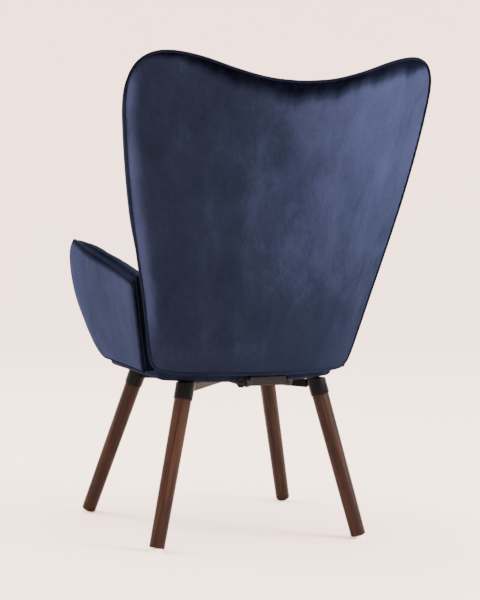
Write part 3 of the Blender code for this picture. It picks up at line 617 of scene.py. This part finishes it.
def bare_metal(name, colour, roughness):
    """Plated or sintered metal with fine turning marks and cloudy patches."""
    finish = Finish(name, roughness, 1.0)
    marks = finish.noise(finish.coordinates((1, 0.2, 1)), 900.0, 2.0, 0.6)
    patches = finish.noise(finish.coordinates(), 120.0, 4.0, 0.6)
    finish.bump(marks, 0.12, 0.0002)
    dull = tuple(0.7 * c for c in colour)
    shade = finish.ramp(finish.scaled(patches, 0.3, 0.7, 0.0, 1.0), [(0.0, dull), (1.0, colour)])
    return finish.done(shade, finish.scaled(patches, 0.3, 0.7, roughness + 0.1, roughness - 0.05))


def plastic(name, colour, roughness, grain):
    """Moulded plastic with a fine spark-eroded grain."""
    finish = Finish(name, roughness)
    finish.fixed(Specular_IOR_Level=0.06)
    skin = finish.noise(finish.coordinates(), grain, 2.0, 0.6)
    scuffs = finish.noise(finish.coordinates(), 90.0, 5.0, 0.7)
    finish.bump(skin, 0.25, 0.0002)
    worn = tuple(min(1.0, 1.25 * c + 0.001) for c in colour)
    shade = finish.ramp(finish.scaled(scuffs, 0.4, 0.8, 0.0, 1.0), [(0.0, colour), (1.0, worn)])
    return finish.done(shade, finish.scaled(scuffs, 0.3, 0.7, roughness - 0.06, roughness + 0.08))


def dust_cloth():
    """Black spun-bonded cloth with its pattern of pressed dots."""
    finish = Finish("dust_cloth", roughness=0.95)
    dots = finish.tree.nodes.new("ShaderNodeTexVoronoi")
    finish.tree.links.new(finish.coordinates(), dots.inputs["Vector"])
    dots.inputs["Scale"].default_value = 420.0
    dots.inputs["Randomness"].default_value = 0.15
    wrinkles = finish.noise(finish.coordinates(), 14.0, 4.0, 0.55)
    shade = finish.ramp(finish.scaled(dots.outputs["Distance"], 0.1, 0.6, 0.0, 1.0),
                        [(0.0, DUST_CLOTH_DARK), (1.0, DUST_CLOTH_LIGHT)])
    finish.bump(dots.outputs["Distance"], 0.4, 0.0004)
    finish.bump(wrinkles, 0.5, 0.004)
    return finish.done(shade)


def plywood():
    """Pale birch ply: long grain with thin darker lines."""
    finish = Finish("plywood", roughness=0.7)
    grain = finish.noise(finish.coordinates((1, 0.05, 1)), 140.0, 4.0, 0.6, 0.8)
    shade = finish.ramp(grain, [(0.3, PLY_DARK), (0.7, PLY_LIGHT)])
    finish.bump(grain, 0.2, 0.0004)
    return finish.done(shade)


# Shapes of the back


def half_width(z):
    """Half the back's width at this height."""
    return 0.340 - 0.117 * (np.clip(0.96 - z, 0, None) / 0.585) ** 1.35


def crest_height(x):
    return CREST_DIP_Z + CREST_RISE * smoothstep(np.abs(x) / CREST_EAR_X)


def rear_face(x, z):
    """Y of the back's rear face, whose sides sweep forward as wings."""
    curl = smoothstep((z - crest_height(x) + TOP_CURL_HEIGHT) / TOP_CURL_HEIGHT)
    sweep = WING_SWEEP_LOW - (WING_SWEEP_LOW - WING_SWEEP) * (z - BACK_BOTTOM) / 0.6
    centre = BACK_TOE_Y + BACK_LEAN * (z - BACK_BOTTOM) + TOP_CURL * curl
    return centre - sweep * (np.abs(x) / half_width(z)) ** WING_POWER


def over(grid, depth):
    """The (x, z) points at this depth in front of the rear face, in the frame."""
    x, z = grid[..., 0], grid[..., 1]
    return to_frame(np.stack([x, rear_face(x, z) - depth, z], axis=-1))


def smooth_half(points, softness):
    """A half outline through the points, rounded off as if it ran on, mirrored, at both ends."""
    half = resample(through(points), 700)
    spacing = np.linalg.norm(half[1] - half[0])
    count = int(3 * softness / spacing)
    flip = np.array([-1, 1])
    run = np.vstack([flip * half[count:0:-1], half, flip * half[-2 : -count - 2 : -1]])
    weights = np.exp(-0.5 * (np.arange(-count, count + 1) * spacing / softness) ** 2)
    weights /= weights.sum()
    return np.column_stack([np.convolve(run[:, k], weights, "valid") for k in range(2)])


def back_grid(columns, rows):
    """Points (x, z) over the back, inside one smooth outline."""
    u, v = closer_to_ends(columns), closer_to_ends(rows)
    flip = np.array([-1, 1])
    half = smooth_half(BACK_TOE + BACK_SIDE[1:] + BACK_CREST[1:], BACK_SOFTNESS)
    corners = BACK_SIDE[0], BACK_SIDE[-1]
    first, last = (int(np.argmin(np.linalg.norm(half - corner, axis=1))) for corner in corners)
    toe, crest = half[: first + 1], half[last:]
    side = resample(half[first : last + 1], v)
    low = resample(np.vstack([(flip * toe)[::-1], toe[1:]]), u)
    high = resample(np.vstack([flip * crest, crest[::-1][1:]]), u)
    return patch(low, high, flip * side, side, u, v)


def rim_depth(z):
    return RIM_LOW + (RIM_HIGH - RIM_LOW) * smoothstep((z - 0.60) / 0.12)


def back_nap_and_light(grid, distance):
    """How light the rear panel is: painted light over the sitter's right side, painted shade in a band
    under the crest, a painted highlight in a strip inside the left edge, and darker right and bottom
    edges."""
    x, z = grid[..., 0], grid[..., 1]
    # Painted light: lighter towards the sitter's right, where the key light falls, than on the left
    # flank; a little lighter low on the left, and darker along the right edge.
    nap_and_light = NAP_BACK + 0.07 * smoothstep((0.105 - x) / 0.035) * smoothstep((z - 0.48) / 0.12)
    nap_and_light = nap_and_light + 0.26 * smoothstep((0.08 - x) / 0.27) * smoothstep((z - 0.47) / 0.43)
    nap_and_light = nap_and_light + 0.05 * smoothstep((0.50 - z) / 0.1) * smoothstep((x - 0.1) / 0.08)
    nap_and_light = nap_and_light - 0.04 * smoothstep((-0.22 - x) / 0.06)
    # Painted shade: a dark, ragged band under the crest, where the panel curls back and faces down.
    below = crest_height(x) - z
    thick = 0.012 + 0.018 * smoothstep((0.255 - x) / 0.085) * smoothstep((x + 0.31) / 0.06)
    ragged = 0.10 * np.sin(61 * x) + 0.07 * np.sin(143 * x + 1.0) + 0.05 * np.sin(290 * x)
    nap_and_light = nap_and_light * (0.05 + 0.95 * smoothstep((below / thick - 0.45 - ragged) / 1.15))
    # Painted highlight: a light strip just inside the left edge, where the wing turns away.
    strip = bell(distance, 0.003, 0.0145) * smoothstep((x - 0.15) / 0.1)
    nap_and_light = nap_and_light + 0.42 * strip * smoothstep((z - 0.42) / 0.1) * smoothstep((below - 0.02) / 0.05)
    return nap_and_light - 0.03 * (1 - smoothstep((z - 0.385) / 0.05))


def add_back(finishes):
    """The back's rear panel and the piping round it."""
    grid = back_grid(91, 111)
    ring = rim_of(grid)
    distance = edge_distance(grid, ring)
    round_over = rolled(distance, 0.005)
    puff = 0.0025 * smoothstep(distance / 0.05)
    rear = over(grid, 0.0040 * (1 - round_over) - puff)
    points, faces = boxed(rear, over(grid, OUTER_PANEL))
    nap_and_light = np.full(len(points), NAP_BACK_SIDE)
    nap_and_light[: distance.size] = back_nap_and_light(grid, distance).ravel()
    outer = mesh_object("back_outer", points, faces, "back", finishes["velvet"], nap_and_light)
    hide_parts("back_outer_panel")

    out = outward_in_plane(ring)
    cord = over(ring + 0.0018 * out, 0.0006)
    lit = NAP_BACK_PIPING - 0.12 * smoothstep((ring[:, 1] - 0.95) / 0.03)
    piping = add_piping(finishes, "back_piping", "back", cord, PIPING, np.repeat(lit, PIPING_SIDES))
    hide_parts("back_welt")


def tufts(x, z):
    """Depth of the button tufting: a dimple at each button, pleats between neighbours, and pleats that
    run out of the top and bottom rows."""
    buttons = [(bx, bz) for bz, places in BUTTON_ROWS for bx in places]
    sunk = np.zeros_like(x)
    for bx, bz in buttons:
        away = np.hypot(x - bx, z - bz)
        sunk = np.maximum(sunk, TUFT_DEPTH * np.exp(-(away / TUFT_SPREAD) ** 1.3))
    pleats = []
    for i, (ax, az) in enumerate(buttons):
        for bx, bz in buttons[i + 1 :]:
            if math.hypot(bx - ax, bz - az) < PLEAT_REACH and bz > az:
                pleats.append((ax, az, bx, bz, 0.0))
    for row, end in ((BUTTON_ROWS[0], PLEAT_BELOW), (BUTTON_ROWS[-1], PLEAT_ABOVE)):
        pleats += [(bx, row[0], bx, row[0] + end, 1.0) for bx in row[1]]
    for ax, az, bx, bz, fade in pleats:
        run = math.hypot(bx - ax, bz - az)
        t = np.clip(((x - ax) * (bx - ax) + (z - az) * (bz - az)) / run**2, 0, 1)
        away = np.hypot(x - ax - t * (bx - ax), z - az - t * (bz - az))
        sunk = np.maximum(sunk, PLEAT_DEPTH * (1 - fade * t) * np.exp(-(away / PLEAT_SPREAD) ** 1.2))
    return sunk


def pad_depth(z, u, v):
    """Depth of the inner back's untufted face in front of the rear face, with u and v from -1 to 1."""
    rim = rim_depth(z)
    middle = PAD_LOW + (PAD_FULL - PAD_LOW) * smoothstep((z - 0.430) / 0.045)
    middle = middle - (PAD_FULL - PAD_HIGH) * smoothstep((z - 0.75) / 0.25)
    crown = (1 - np.abs(u) ** 4) * (1 - v**8)
    return rim + (np.maximum(middle, rim) - rim) * crown


def seam_channels(face, distance):
    """Depth of the two sewn channels that run up the inner back beside its tufting."""
    x, z = face[..., 0], face[..., 1]
    seam_x = 0.185 + 0.10 * smoothstep((z - 0.45) / 0.55)
    channel = CHANNEL_DEPTH * bell(np.abs(x), seam_x, CHANNEL_SPREAD) * smoothstep((z - 0.44) / 0.04)
    return channel * smoothstep(distance / 0.02)


def add_inner_back(finishes):
    """The back's tufted pad and the piping round its face."""
    grid = back_grid(101, 121)
    rows, columns = grid.shape[:2]
    face = PAD_SHRINK * (grid - PAD_CENTRE) + PAD_CENTRE
    distance = edge_distance(grid, rim_of(grid))
    u = 2 * closer_to_ends(columns)[None, :] - 1
    v = 2 * closer_to_ends(rows)[:, None] - 1
    sunk = tufts(face[..., 0], face[..., 1]) + seam_channels(face, distance)
    depth = pad_depth(grid[..., 1], u, v) - 0.010 * (1 - rolled(distance, 0.014)) - sunk
    near = over(grid, OUTER_PANEL + PAD_GAP)
    points, faces = boxed(near, over(face, depth), 5, lambda t: 0.0025 * math.sin(math.pi * t))
    nap_and_light = np.full(len(points), NAP_INNER_SIDE)
    # Painted shade: the face is darker where the tufting sinks in, in its dimples and pleats.
    face_nap_and_shade = (NAP_INNER_BACK - PAINTED_SHADE_BY_DEPTH * sunk).clip(0.05)
    nap_and_light[sunk.size : 2 * sunk.size] = face_nap_and_shade.ravel()
    inner = mesh_object("back_inner", points, faces, "back", finishes["velvet"], nap_and_light)
    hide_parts("back_inner_pad")

    edge = rim_of(face)
    out = outward_in_plane(edge)
    cord = over(edge + 0.0012 * out, rim_depth(edge[:, 1]) - 0.0085)
    add_piping(finishes, "back_front_piping", "back", cord, FINE_PIPING, NAP_FINE_PIPING)


def add_buttons(finishes):
    """The covered buttons, numbered from the lowest row up, each seated at the bottom of its dimple."""
    spots = [(x, z) for z, places in BUTTON_ROWS for x in places]
    for number, (x, z) in enumerate(spots, start=1):
        spot = np.array([[x, z]])
        u = x / half_width(z)
        v = 2 * (z - BACK_BOTTOM) / (crest_height(x) - BACK_BOTTOM) - 1
        seat = pad_depth(z, u, v) - TUFT_DEPTH + BUTTON_PROUD
        centre = over(spot, seat - 0.004)[0]
        tip = over(spot, seat + 0.004)[0]
        points, faces = turned(BUTTON_PROFILE, centre, tip, BUTTON_SIDES)
        mesh_object(f"back_button_{number}", points, faces, "back", finishes["velvet"],
                    NAP_BUTTON)


# Arms


def outer_face(y, z):
    """X of an arm's outer face, which leans out and swells towards the front."""
    belly = smoothstep((0.12 - y) / 0.32) * np.clip(1 - ((z - 0.52) / 0.16) ** 2, 0, None)
    return ARM_FOOT_X + ARM_FLARE * (z - BACK_BOTTOM) + ARM_BELLY * belly


def arm_grid(columns, rows):
    """Points (y, z) over an arm's side view, u from front to rear and v upwards."""
    u, v = closer_to_ends(columns), closer_to_ends(rows)
    front = resample(through(ARM_FRONT), v)
    top = resample(through(ARM_TOP), u)
    low = front[0] + u[:, None] * (np.array(ARM_HEEL) - front[0])
    rear = ARM_HEEL + v[:, None] * (top[-1] - np.array(ARM_HEEL))
    return patch(low, top, front, rear, u, v), u, v


def arm_layer(grid, depth, side, u):
    """The arm's points at this depth inside its outer face, skewed forward at the rear edge."""
    y, z = grid[..., 0], grid[..., 1]
    x = outer_face(y, z) - depth
    return to_frame(np.stack([side * x, y - ARM_REAR_SKEW * depth * u**2, z], axis=-1))


def add_arm_panel(finishes, name, side, grid, across, upward, distance):
    """An arm's swelling outer panel, with painted shade along its top seam and its rear edge, and darker
    towards its foot and rear.
    """
    outer_depth = 0.0050 * (1 - rolled(distance, 0.006)) - 0.0030 * smoothstep(distance / 0.045)
    outer = arm_layer(grid, outer_depth, side, across)
    points, faces = boxed(outer, arm_layer(grid, ARM_PANEL, side, across))
    z = grid[..., 1]
    light = NAP_ARM - 0.05 * smoothstep((0.50 - z) / 0.12) - 0.05 * across
    # Painted shade: a dark band under the top seam, where the panel rolls in under the pad.
    band = 0.010 + 0.026 * smoothstep(across / 0.35)
    painted_shade = 1 - smoothstep((1 - upward - band) / 0.035)
    light = light * (1 - 0.97 * painted_shade)
    # Painted shade along the rear edge, in the crevice against the back.
    light = light - 0.30 * (1 - smoothstep((1 - across) / 0.05))
    nap_and_light = np.full(len(points), NAP_ARM_SIDE)
    nap_and_light[: light.size] = light.ravel()
    panel = mesh_object(f"arm_outer_{name}", points, faces, "base", finishes["velvet"], nap_and_light)
    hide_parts(f"arm_outer_panel_{name}")


def arm_crown(rim_u, rim_v):
    """How far the arm's padded side swells outwards: only along its top and its front."""
    rear = smoothstep((rim_u - 0.9) / 0.1) * (rim_v < 0.985)
    on_top = smoothstep((rim_v - 0.02) / 0.1) * (1 - rear)
    return 0.0085 * on_top * (0.25 + 0.75 * smoothstep(rim_u / 0.3))


def add_arm_pad(finishes, name, side, grid, across, upward, distance):
    """An arm's inner pad with its crowned top, in one sewn piece."""
    thickness = ARM_THICKNESS + ARM_TOP_EXTRA * upward
    thickness = thickness - ARM_FRONT_LESS * upward * (1 - smoothstep(across / 0.3))
    edge = 0.016 * (1 - rolled(distance, 0.022)) * smoothstep(upward / 0.15)
    swell = 0.006 * smoothstep(distance / 0.07)
    near = arm_layer(grid, ARM_PANEL + ARM_GAP, side, across)
    far = arm_layer(grid, thickness - edge + swell, side, across)
    slope = 0.011 * across - 0.009 * (1 - smoothstep(across / 0.35))
    far[..., 2] += slope * smoothstep((upward - 0.5) / 0.5)
    rim_u = rim_of((across * np.ones_like(distance))[..., None])[:, 0]
    rim_v = rim_of((upward * np.ones_like(distance))[..., None])[:, 0]
    crown = arm_crown(rim_u, rim_v)

    def bulge(t):
        return crown * math.sin(math.pi * min(1.0, 0.15 + 0.85 * t)) ** 0.8

    points, faces = boxed(near, far, ARM_SIDE_STEPS, bulge)
    # Painted shade: the pad's side is dark next to the outer panel, in the seam under its crowned top,
    # and lighter further in.
    inward = np.repeat(np.arange(1, ARM_SIDE_STEPS) / ARM_SIDE_STEPS, len(rim_u))
    side_nap_and_shade = 0.02 + 0.20 * smoothstep((inward - 0.15) / 0.3)
    nap_and_light = np.concatenate([np.full(2 * distance.size, NAP_ARM_PAD), side_nap_and_shade])
    pad = mesh_object(f"arm_pad_{name}", points, faces, "base", finishes["velvet"], nap_and_light)
    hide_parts(f"arm_inner_pad_{name}", f"arm_strip_{name}", f"arm_board_{name}")
    return rim_u


def add_arm(finishes, name, side):
    """One arm: its outer panel, its pad, and the piping between them."""
    grid, u, v = arm_grid(57, 49)
    across, upward = u[None, :], v[:, None]
    ring = rim_of(grid)
    distance = edge_distance(grid, ring)
    add_arm_panel(finishes, name, side, grid, across, upward, distance)
    rim_u = add_arm_pad(finishes, name, side, grid, across, upward, distance)
    cord = arm_layer(ring + 0.0010 * outward_in_plane(ring), 0.0036, side, rim_u)
    add_piping(finishes, f"arm_piping_{name}", "base", cord, FINE_PIPING, NAP_ARM_PIPING_SHADED)


# Seat


def seat_rear(x):
    """Y of the seat's rear edge, bowed like the back behind it."""
    return SEAT_REAR - WING_SWEEP_LOW * (np.abs(x) / SEAT_REAR_HALF) ** WING_POWER


def seat_ring(inset, front, half_width_now):
    """The seat in plan: round front corners, straight sides and a bowed rear edge."""
    half = half_width_now - inset
    radius = max(SEAT_CORNER - inset, 0.006)
    corner_y = front + inset + radius
    turn = np.radians(np.linspace(-90, 0, 25))
    right = [(half - radius + radius * math.cos(a), corner_y + radius * math.sin(a)) for a in turn]
    inner = half - SEAT_REAR_CORNER
    right.append((half, seat_rear(inner) - inset - SEAT_REAR_CORNER))
    right += [(x, seat_rear(x) - inset) for x in np.linspace(inner, 0, 30)]
    left = [(-x, y) for x, y in right[:-1]]
    return resample(np.array(right + left[::-1] + right[:1]), SEAT_POINTS + 1)[:-1]


def base_outline(inset, z):
    """The padded base in plan."""
    ring = seat_ring(inset, SEAT_FRONT, SEAT_HALF_WIDTH)
    return to_frame(np.column_stack([ring, np.full(len(ring), z)]))


def base_levels():
    """The base cover's (inset, z) from the roof of its cavity, down round its lip and up to its top."""
    inside = BASE_CAVITY
    low, top = UNDERSIDE_Z, BASE_TOP
    levels = [(inside + 0.05, BASE_CAVITY_TOP), (inside, BASE_CAVITY_TOP)]
    levels += [(inside, low + 0.0012), (inside - 0.001, low + 0.0002)]
    levels += [(0.0085, low + 0.0004), (0.0045, low + 0.0018), (0.0015, low + 0.0042)]
    for t in np.linspace(0, 1, 9):
        levels.append((-BASE_SWELL * math.sin(math.pi * t), low + 0.006 + t * (top - low - 0.018)))
    levels += [(0.0015, top - 0.0085), (0.0045, top - 0.0045), (0.009, top - 0.0018)]
    levels += [(0.016, top - 0.0004), (0.05, top)]
    return levels


def add_base_wrap(finishes):
    points, faces = stacked(base_outline, base_levels())
    wrap = mesh_object("seat_base_wrap", points, faces, "base", finishes["velvet"], NAP_BASE)
    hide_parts("seat_base_cover")


def cushion_outline(inset, z):
    """The cushion in plan, which overhangs the base in front and stops short of the back behind."""
    ring = seat_ring(inset, SEAT_FRONT - CUSHION_NOSE, SEAT_HALF_WIDTH - CUSHION_SIDE_GAP)
    rear = ring[:, 1] > 0.1
    ring[rear, 1] = np.minimum(ring[rear, 1], 0.6 * ring[rear, 1] + 0.060)
    return to_frame(np.column_stack([ring, np.full(len(ring), z)]))


def cushion_levels():
    """The cushion's (inset, z) from its underside, up its side to the seam and over its crown."""
    low, seam, top = CUSHION_BOTTOM, CUSHION_SEAM, CUSHION_TOP
    levels = [(0.09, low), (0.010, low), (0.004, low + 0.002), (0.001, low + 0.007)]
    for t in (0.2, 0.4, 0.6, 0.8):
        levels.append((-CUSHION_SWELL * math.sin(math.pi * t), low + 0.007 + t * (seam - low - 0.010)))
    levels += [(0.001, seam - 0.002), (0.005, seam + 0.003), (0.014, seam + 0.007)]
    levels += [(0.035, top + 0.002), (0.075, top + 0.006), (0.13, top + 0.009)]
    return levels


def add_cushion(finishes):
    """The seat cushion and the piping along its two seams."""
    points, faces = stacked(cushion_outline, cushion_levels())
    cushion = mesh_object("seat_pad", points, faces, "base", finishes["velvet"],
                          NAP_CUSHION)
    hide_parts("seat_cushion")
    seam = cushion_outline(0.001, CUSHION_SEAM)
    inflate(cushion, seam, CUSHION_BOTTOM + 0.004)
    for name, inset, z in (("top", -0.0012, CUSHION_SEAM), ("bottom", 0.0, CUSHION_BOTTOM + 0.0045)):
        cord = cushion_outline(inset, z)
        add_piping(finishes, f"seat_piping_{name}", "base", cord, FINE_PIPING, NAP_FINE_PIPING)


def apply(obj, modifier):
    bpy.context.view_layer.objects.active = obj
    bpy.ops.object.modifier_apply(modifier=modifier.name)


def vertex_places(mesh):
    places = np.empty(len(mesh.vertices) * 3)
    mesh.vertices.foreach_get("co", places)
    return places.reshape(-1, 3)


def hold_still(obj, rest, seam, floor):
    """A vertex group of the points along the seam and of the pad's underside."""
    tree = KDTree(len(seam))
    for i, place in enumerate(seam):
        tree.insert(place, i)
    tree.balance()
    near = np.array([tree.find(p)[2] for p in rest])
    hold = obj.vertex_groups.new(name="hold")
    for i in np.nonzero((near < HELD_NEAR_SEAM) | (rest[:, 2] < floor))[0]:
        hold.add([int(i)], 1.0, "REPLACE")
    return hold


def swell_as_cloth(obj, hold):
    cloth = obj.modifiers.new("cloth", "CLOTH")
    cloth.settings.quality = 5
    cloth.settings.mass = 0.3
    cloth.settings.use_pressure = True
    cloth.settings.uniform_pressure_force = PRESSURE
    cloth.settings.tension_stiffness = 12
    cloth.settings.compression_stiffness = 12
    cloth.settings.bending_stiffness = 0.6
    cloth.settings.vertex_group_mass = hold.name
    cloth.settings.effector_weights.gravity = 0.0
    cloth.collision_settings.use_collision = False
    for step in range(1, CLOTH_STEPS + 1):
        bpy.context.scene.frame_set(step)
    apply(obj, cloth)


def inflate(obj, seam, floor):
    """Swells the cushion like stuffed cloth, held at its seam and underside, and refits its nap."""
    remesh = obj.modifiers.new("remesh", "REMESH")
    remesh.mode = "VOXEL"
    remesh.voxel_size = VOXEL
    apply(obj, remesh)
    mesh = obj.data
    rest = vertex_places(mesh)
    swell_as_cloth(obj, hold_still(obj, rest, seam, floor))
    moved = vertex_places(mesh) - rest
    far = np.linalg.norm(moved, axis=1)
    moved *= (SWELL_CAP * np.tanh(far / SWELL_CAP) / np.maximum(far, 1e-9))[:, None]
    mesh.vertices.foreach_set("co", (rest + moved).ravel())
    bpy.context.scene.frame_set(1)
    finer = obj.modifiers.new("finer", "SUBSURF")
    finer.levels = 1
    finer.render_levels = 1
    apply(obj, finer)
    mesh.shade_smooth()
    if "nap_and_light" in mesh.attributes:
        mesh.attributes.remove(mesh.attributes["nap_and_light"])
    set_nap_and_light(mesh, NAP_CUSHION_SWOLLEN)


# Legs and metal


def leg_line(end, side):
    """A point on the floor under a leg's foot, and the unit vector up along the leg."""
    foot, mouth = FEET[end], MOUTHS[end]
    start = Vector((side * foot[0], foot[1] - MIDDLE_Y, 0.0))
    along = (Vector((side * mouth[0], mouth[1] - MIDDLE_Y, MOUTH_Z)) - start).normalized()
    return start, along


def add_grain(leg, points, start, along, end, side):
    """Stores each point's place along and across its own leg, so that no two legs share a figure."""
    turn = along.to_track_quat("Z", "Y").to_matrix()
    local = (points - np.array(start)) @ np.array(turn)
    local += 0.37 * (1 + list(FEET).index(end)) + 0.21 * side
    grain = leg.data.attributes.new("grain", "FLOAT_VECTOR", "POINT")
    grain.data.foreach_set("vector", local.astype(np.float32).ravel())


def add_leg(finishes, end, name, side):
    """A turned leg with a softened foot edge, tapering down from its socket."""
    start, along = leg_line(end, side)
    corner = f"{end}_{name}"
    mouth = MOUTH_Z / along.z
    low = GLIDE_HEIGHT / along.z + LEG_LIFT
    edge_top = low + LEG_FOOT_EDGE[-1][1]
    profile = [(0, low)]
    profile += [(radius, low + rise) for radius, rise in LEG_FOOT_EDGE]
    for t in (0.25, 0.5, 0.75, 1):
        radius = LEG_FOOT_RADIUS + (LEG_TOP_RADIUS - LEG_FOOT_RADIUS) * t
        profile.append((radius, edge_top + t * (mouth - edge_top)))
    profile += [(LEG_TOP_RADIUS, mouth + LEG_IN_SOCKET), (0, mouth + LEG_IN_SOCKET)]
    points, faces = turned(profile, start, start + along)
    leg = mesh_object(f"wood_leg_{corner}", points, faces, "base", finishes["walnut"])
    add_grain(leg, points, start, along, end, side)
    leg.data.set_sharp_from_angle(angle=SHARP_EDGE)
    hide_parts(f"leg_{corner}")


def add_sleeve(finishes, end, name, side):
    """A leg's steel socket: a tube cut off level under the seat, with a rolled mouth."""
    start, along = leg_line(end, side)
    corner = f"{end}_{name}"
    mouth = MOUTH_Z / along.z
    under = UNDERSIDE_Z - SLEEVE_GAP
    top = under / along.z
    profile = [(SLEEVE_BORE, mouth + 0.0015), (0.0195, mouth + 0.0003), (0.0201, mouth),
               (0.0208, mouth + 0.0003), (SLEEVE_RADIUS, mouth + 0.001), (SLEEVE_RADIUS, top),
               (SLEEVE_BORE, top)]
    points, faces = turned(profile, start, start + along)
    direction = np.array(along)
    height = (points - np.array(start)) @ direction
    at_top = np.abs(height - top) < 1e-6
    points[at_top] += direction * ((under - points[at_top, 2]) / along.z)[:, None]
    cup = mesh_object(f"sleeve_{corner}", points, faces, "base", finishes["black_steel"])
    cup.data.set_sharp_from_angle(angle=SHARP_EDGE)
    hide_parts(f"leg_socket_{corner}")


def dress_cad(finishes):
    """Gives each CAD node that stays its finish, and eases the edges of the steel ones."""
    for name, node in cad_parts.items():
        if node.hide_render:
            continue
        finish = next(finishes[f] for f, starts in CARRIED.items() if name.startswith(starts))
        node.data.materials.clear()
        node.data.materials.append(finish)
        if name.startswith(EASED):
            ease = node.modifiers.new("ease", "BEVEL")
            ease.width = EASE_WIDTH
            ease.segments = 2
            ease.limit_method = "ANGLE"
            ease.angle_limit = SHARP_EDGE


# Room


def room_finish():
    finish = Finish("pale_paper", roughness=0.9)
    finish.fixed(Specular_IOR_Level=0.1)
    mottle = finish.noise(finish.coordinates(), 3.0, 2.0, 0.5)
    shade = finish.ramp(mottle, [(0.3, PAPER_DARK), (0.7, PAPER_LIGHT)])
    return finish.done(shade)


def add_room():
    """A pale round cove: a flat floor that curves up into a wall on all sides."""
    profile = [(0, 0), (1.0, 0), (3.0, 0), (FLOOR_RADIUS, 0)]
    for angle in np.radians(np.linspace(0, 80, 17)):
        radius = FLOOR_RADIUS + COVE_RADIUS * math.sin(angle)
        profile.append((radius, COVE_RADIUS - COVE_RADIUS * math.cos(angle)))
    profile.append((WALL_RADIUS, WALL_HEIGHT))
    sides = ROOM_SIDES
    points, faces = [(0, 0, 0)], []
    for radius, height in profile[1:]:
        for k in range(sides):
            angle = 2 * math.pi * k / sides
            points.append((radius * math.cos(angle), radius * math.sin(angle), height))
    for k in range(sides):
        n = (k + 1) % sides
        faces.append((0, 1 + k, 1 + n))
        for i in range(len(profile) - 2):
            a, b = 1 + i * sides, 1 + (i + 1) * sides
            faces.append((a + k, b + k, b + n, a + n))
    mesh = bpy.data.meshes.new("floor")
    mesh.from_pydata(points, [], faces)
    mesh.shade_smooth()
    mesh.materials.append(room_finish())
    floor = bpy.data.objects.new("floor", mesh)
    bpy.context.scene.collection.objects.link(floor)


def add_light(name, place, size, power, colour):
    light = bpy.data.lights.new(name, "AREA")
    light.shape = "RECTANGLE"
    light.size, light.size_y = size
    light.energy = power
    light.color = colour
    obj = bpy.data.objects.new(name, light)
    obj.location = place
    obj.rotation_mode = "QUATERNION"
    obj.rotation_quaternion = (Vector(LIGHT_TARGET) - Vector(place)).to_track_quat("-Z", "Y")
    bpy.context.scene.collection.objects.link(obj)


def add_lights():
    world = bpy.data.worlds.new("studio")
    world.use_nodes = True
    sky = world.node_tree.nodes["Background"]
    sky.inputs["Color"].default_value = SKY_COLOUR
    sky.inputs["Strength"].default_value = SKY_STRENGTH
    bpy.context.scene.world = world
    add_light("key", (-2.6, 2.2, 2.0), size=(1.6, 2.2), power=300, colour=(1.0, 0.97, 0.95))
    add_light("far_window", (2.2, -2.8, 2.8), size=(1.8, 1.8), power=190, colour=(1.0, 0.98, 0.96))


def add_camera():
    camera = bpy.data.cameras.new("camera")
    camera.lens = LENS
    camera.sensor_width = SENSOR
    turn, dip = math.radians(CAMERA_TURN), math.radians(CAMERA_DIP)
    forward = Vector((-math.sin(turn) * math.cos(dip), -math.cos(turn) * math.cos(dip), -math.sin(dip)))
    obj = bpy.data.objects.new("camera", camera)
    obj.location = CAMERA_PLACE
    obj.rotation_mode = "QUATERNION"
    obj.rotation_quaternion = forward.to_track_quat("-Z", "Y")
    bpy.context.scene.collection.objects.link(obj)
    bpy.context.scene.camera = obj


def main():
    finishes = {
        "velvet": velvet("navy_velvet"),
        "piping": velvet("navy_velvet_piping", (1, 1, 1), -0.02),
        "walnut": walnut(),
        "black_steel": coated_steel("black_powder_coat", BLACK_COAT, 0.32),
        "grey_coat": coated_steel("grey_powder_coat", GREY_COAT, 0.40),
        "zinc": bare_metal("dark_zinc_plate", ZINC, 0.42),
        "bronze": bare_metal("sintered_bronze", BRONZE, 0.45),
        "nylon": plastic("nylon", NYLON, 0.5, 700.0),
        "black_plastic": plastic("black_plastic", BLACK_PLASTIC, 0.42, 900.0),
        "dust_cloth": dust_cloth(),
        "plywood": plywood(),
    }
    add_camera()
    add_room()
    add_lights()
    add_back(finishes)
    add_inner_back(finishes)
    add_buttons(finishes)
    for name, side in (("left", 1), ("right", -1)):
        add_arm(finishes, name, side)
        for end in FEET:
            add_leg(finishes, end, name, side)
            add_sleeve(finishes, end, name, side)
    add_base_wrap(finishes)
    add_cushion(finishes)
    dress_cad(finishes)


main()
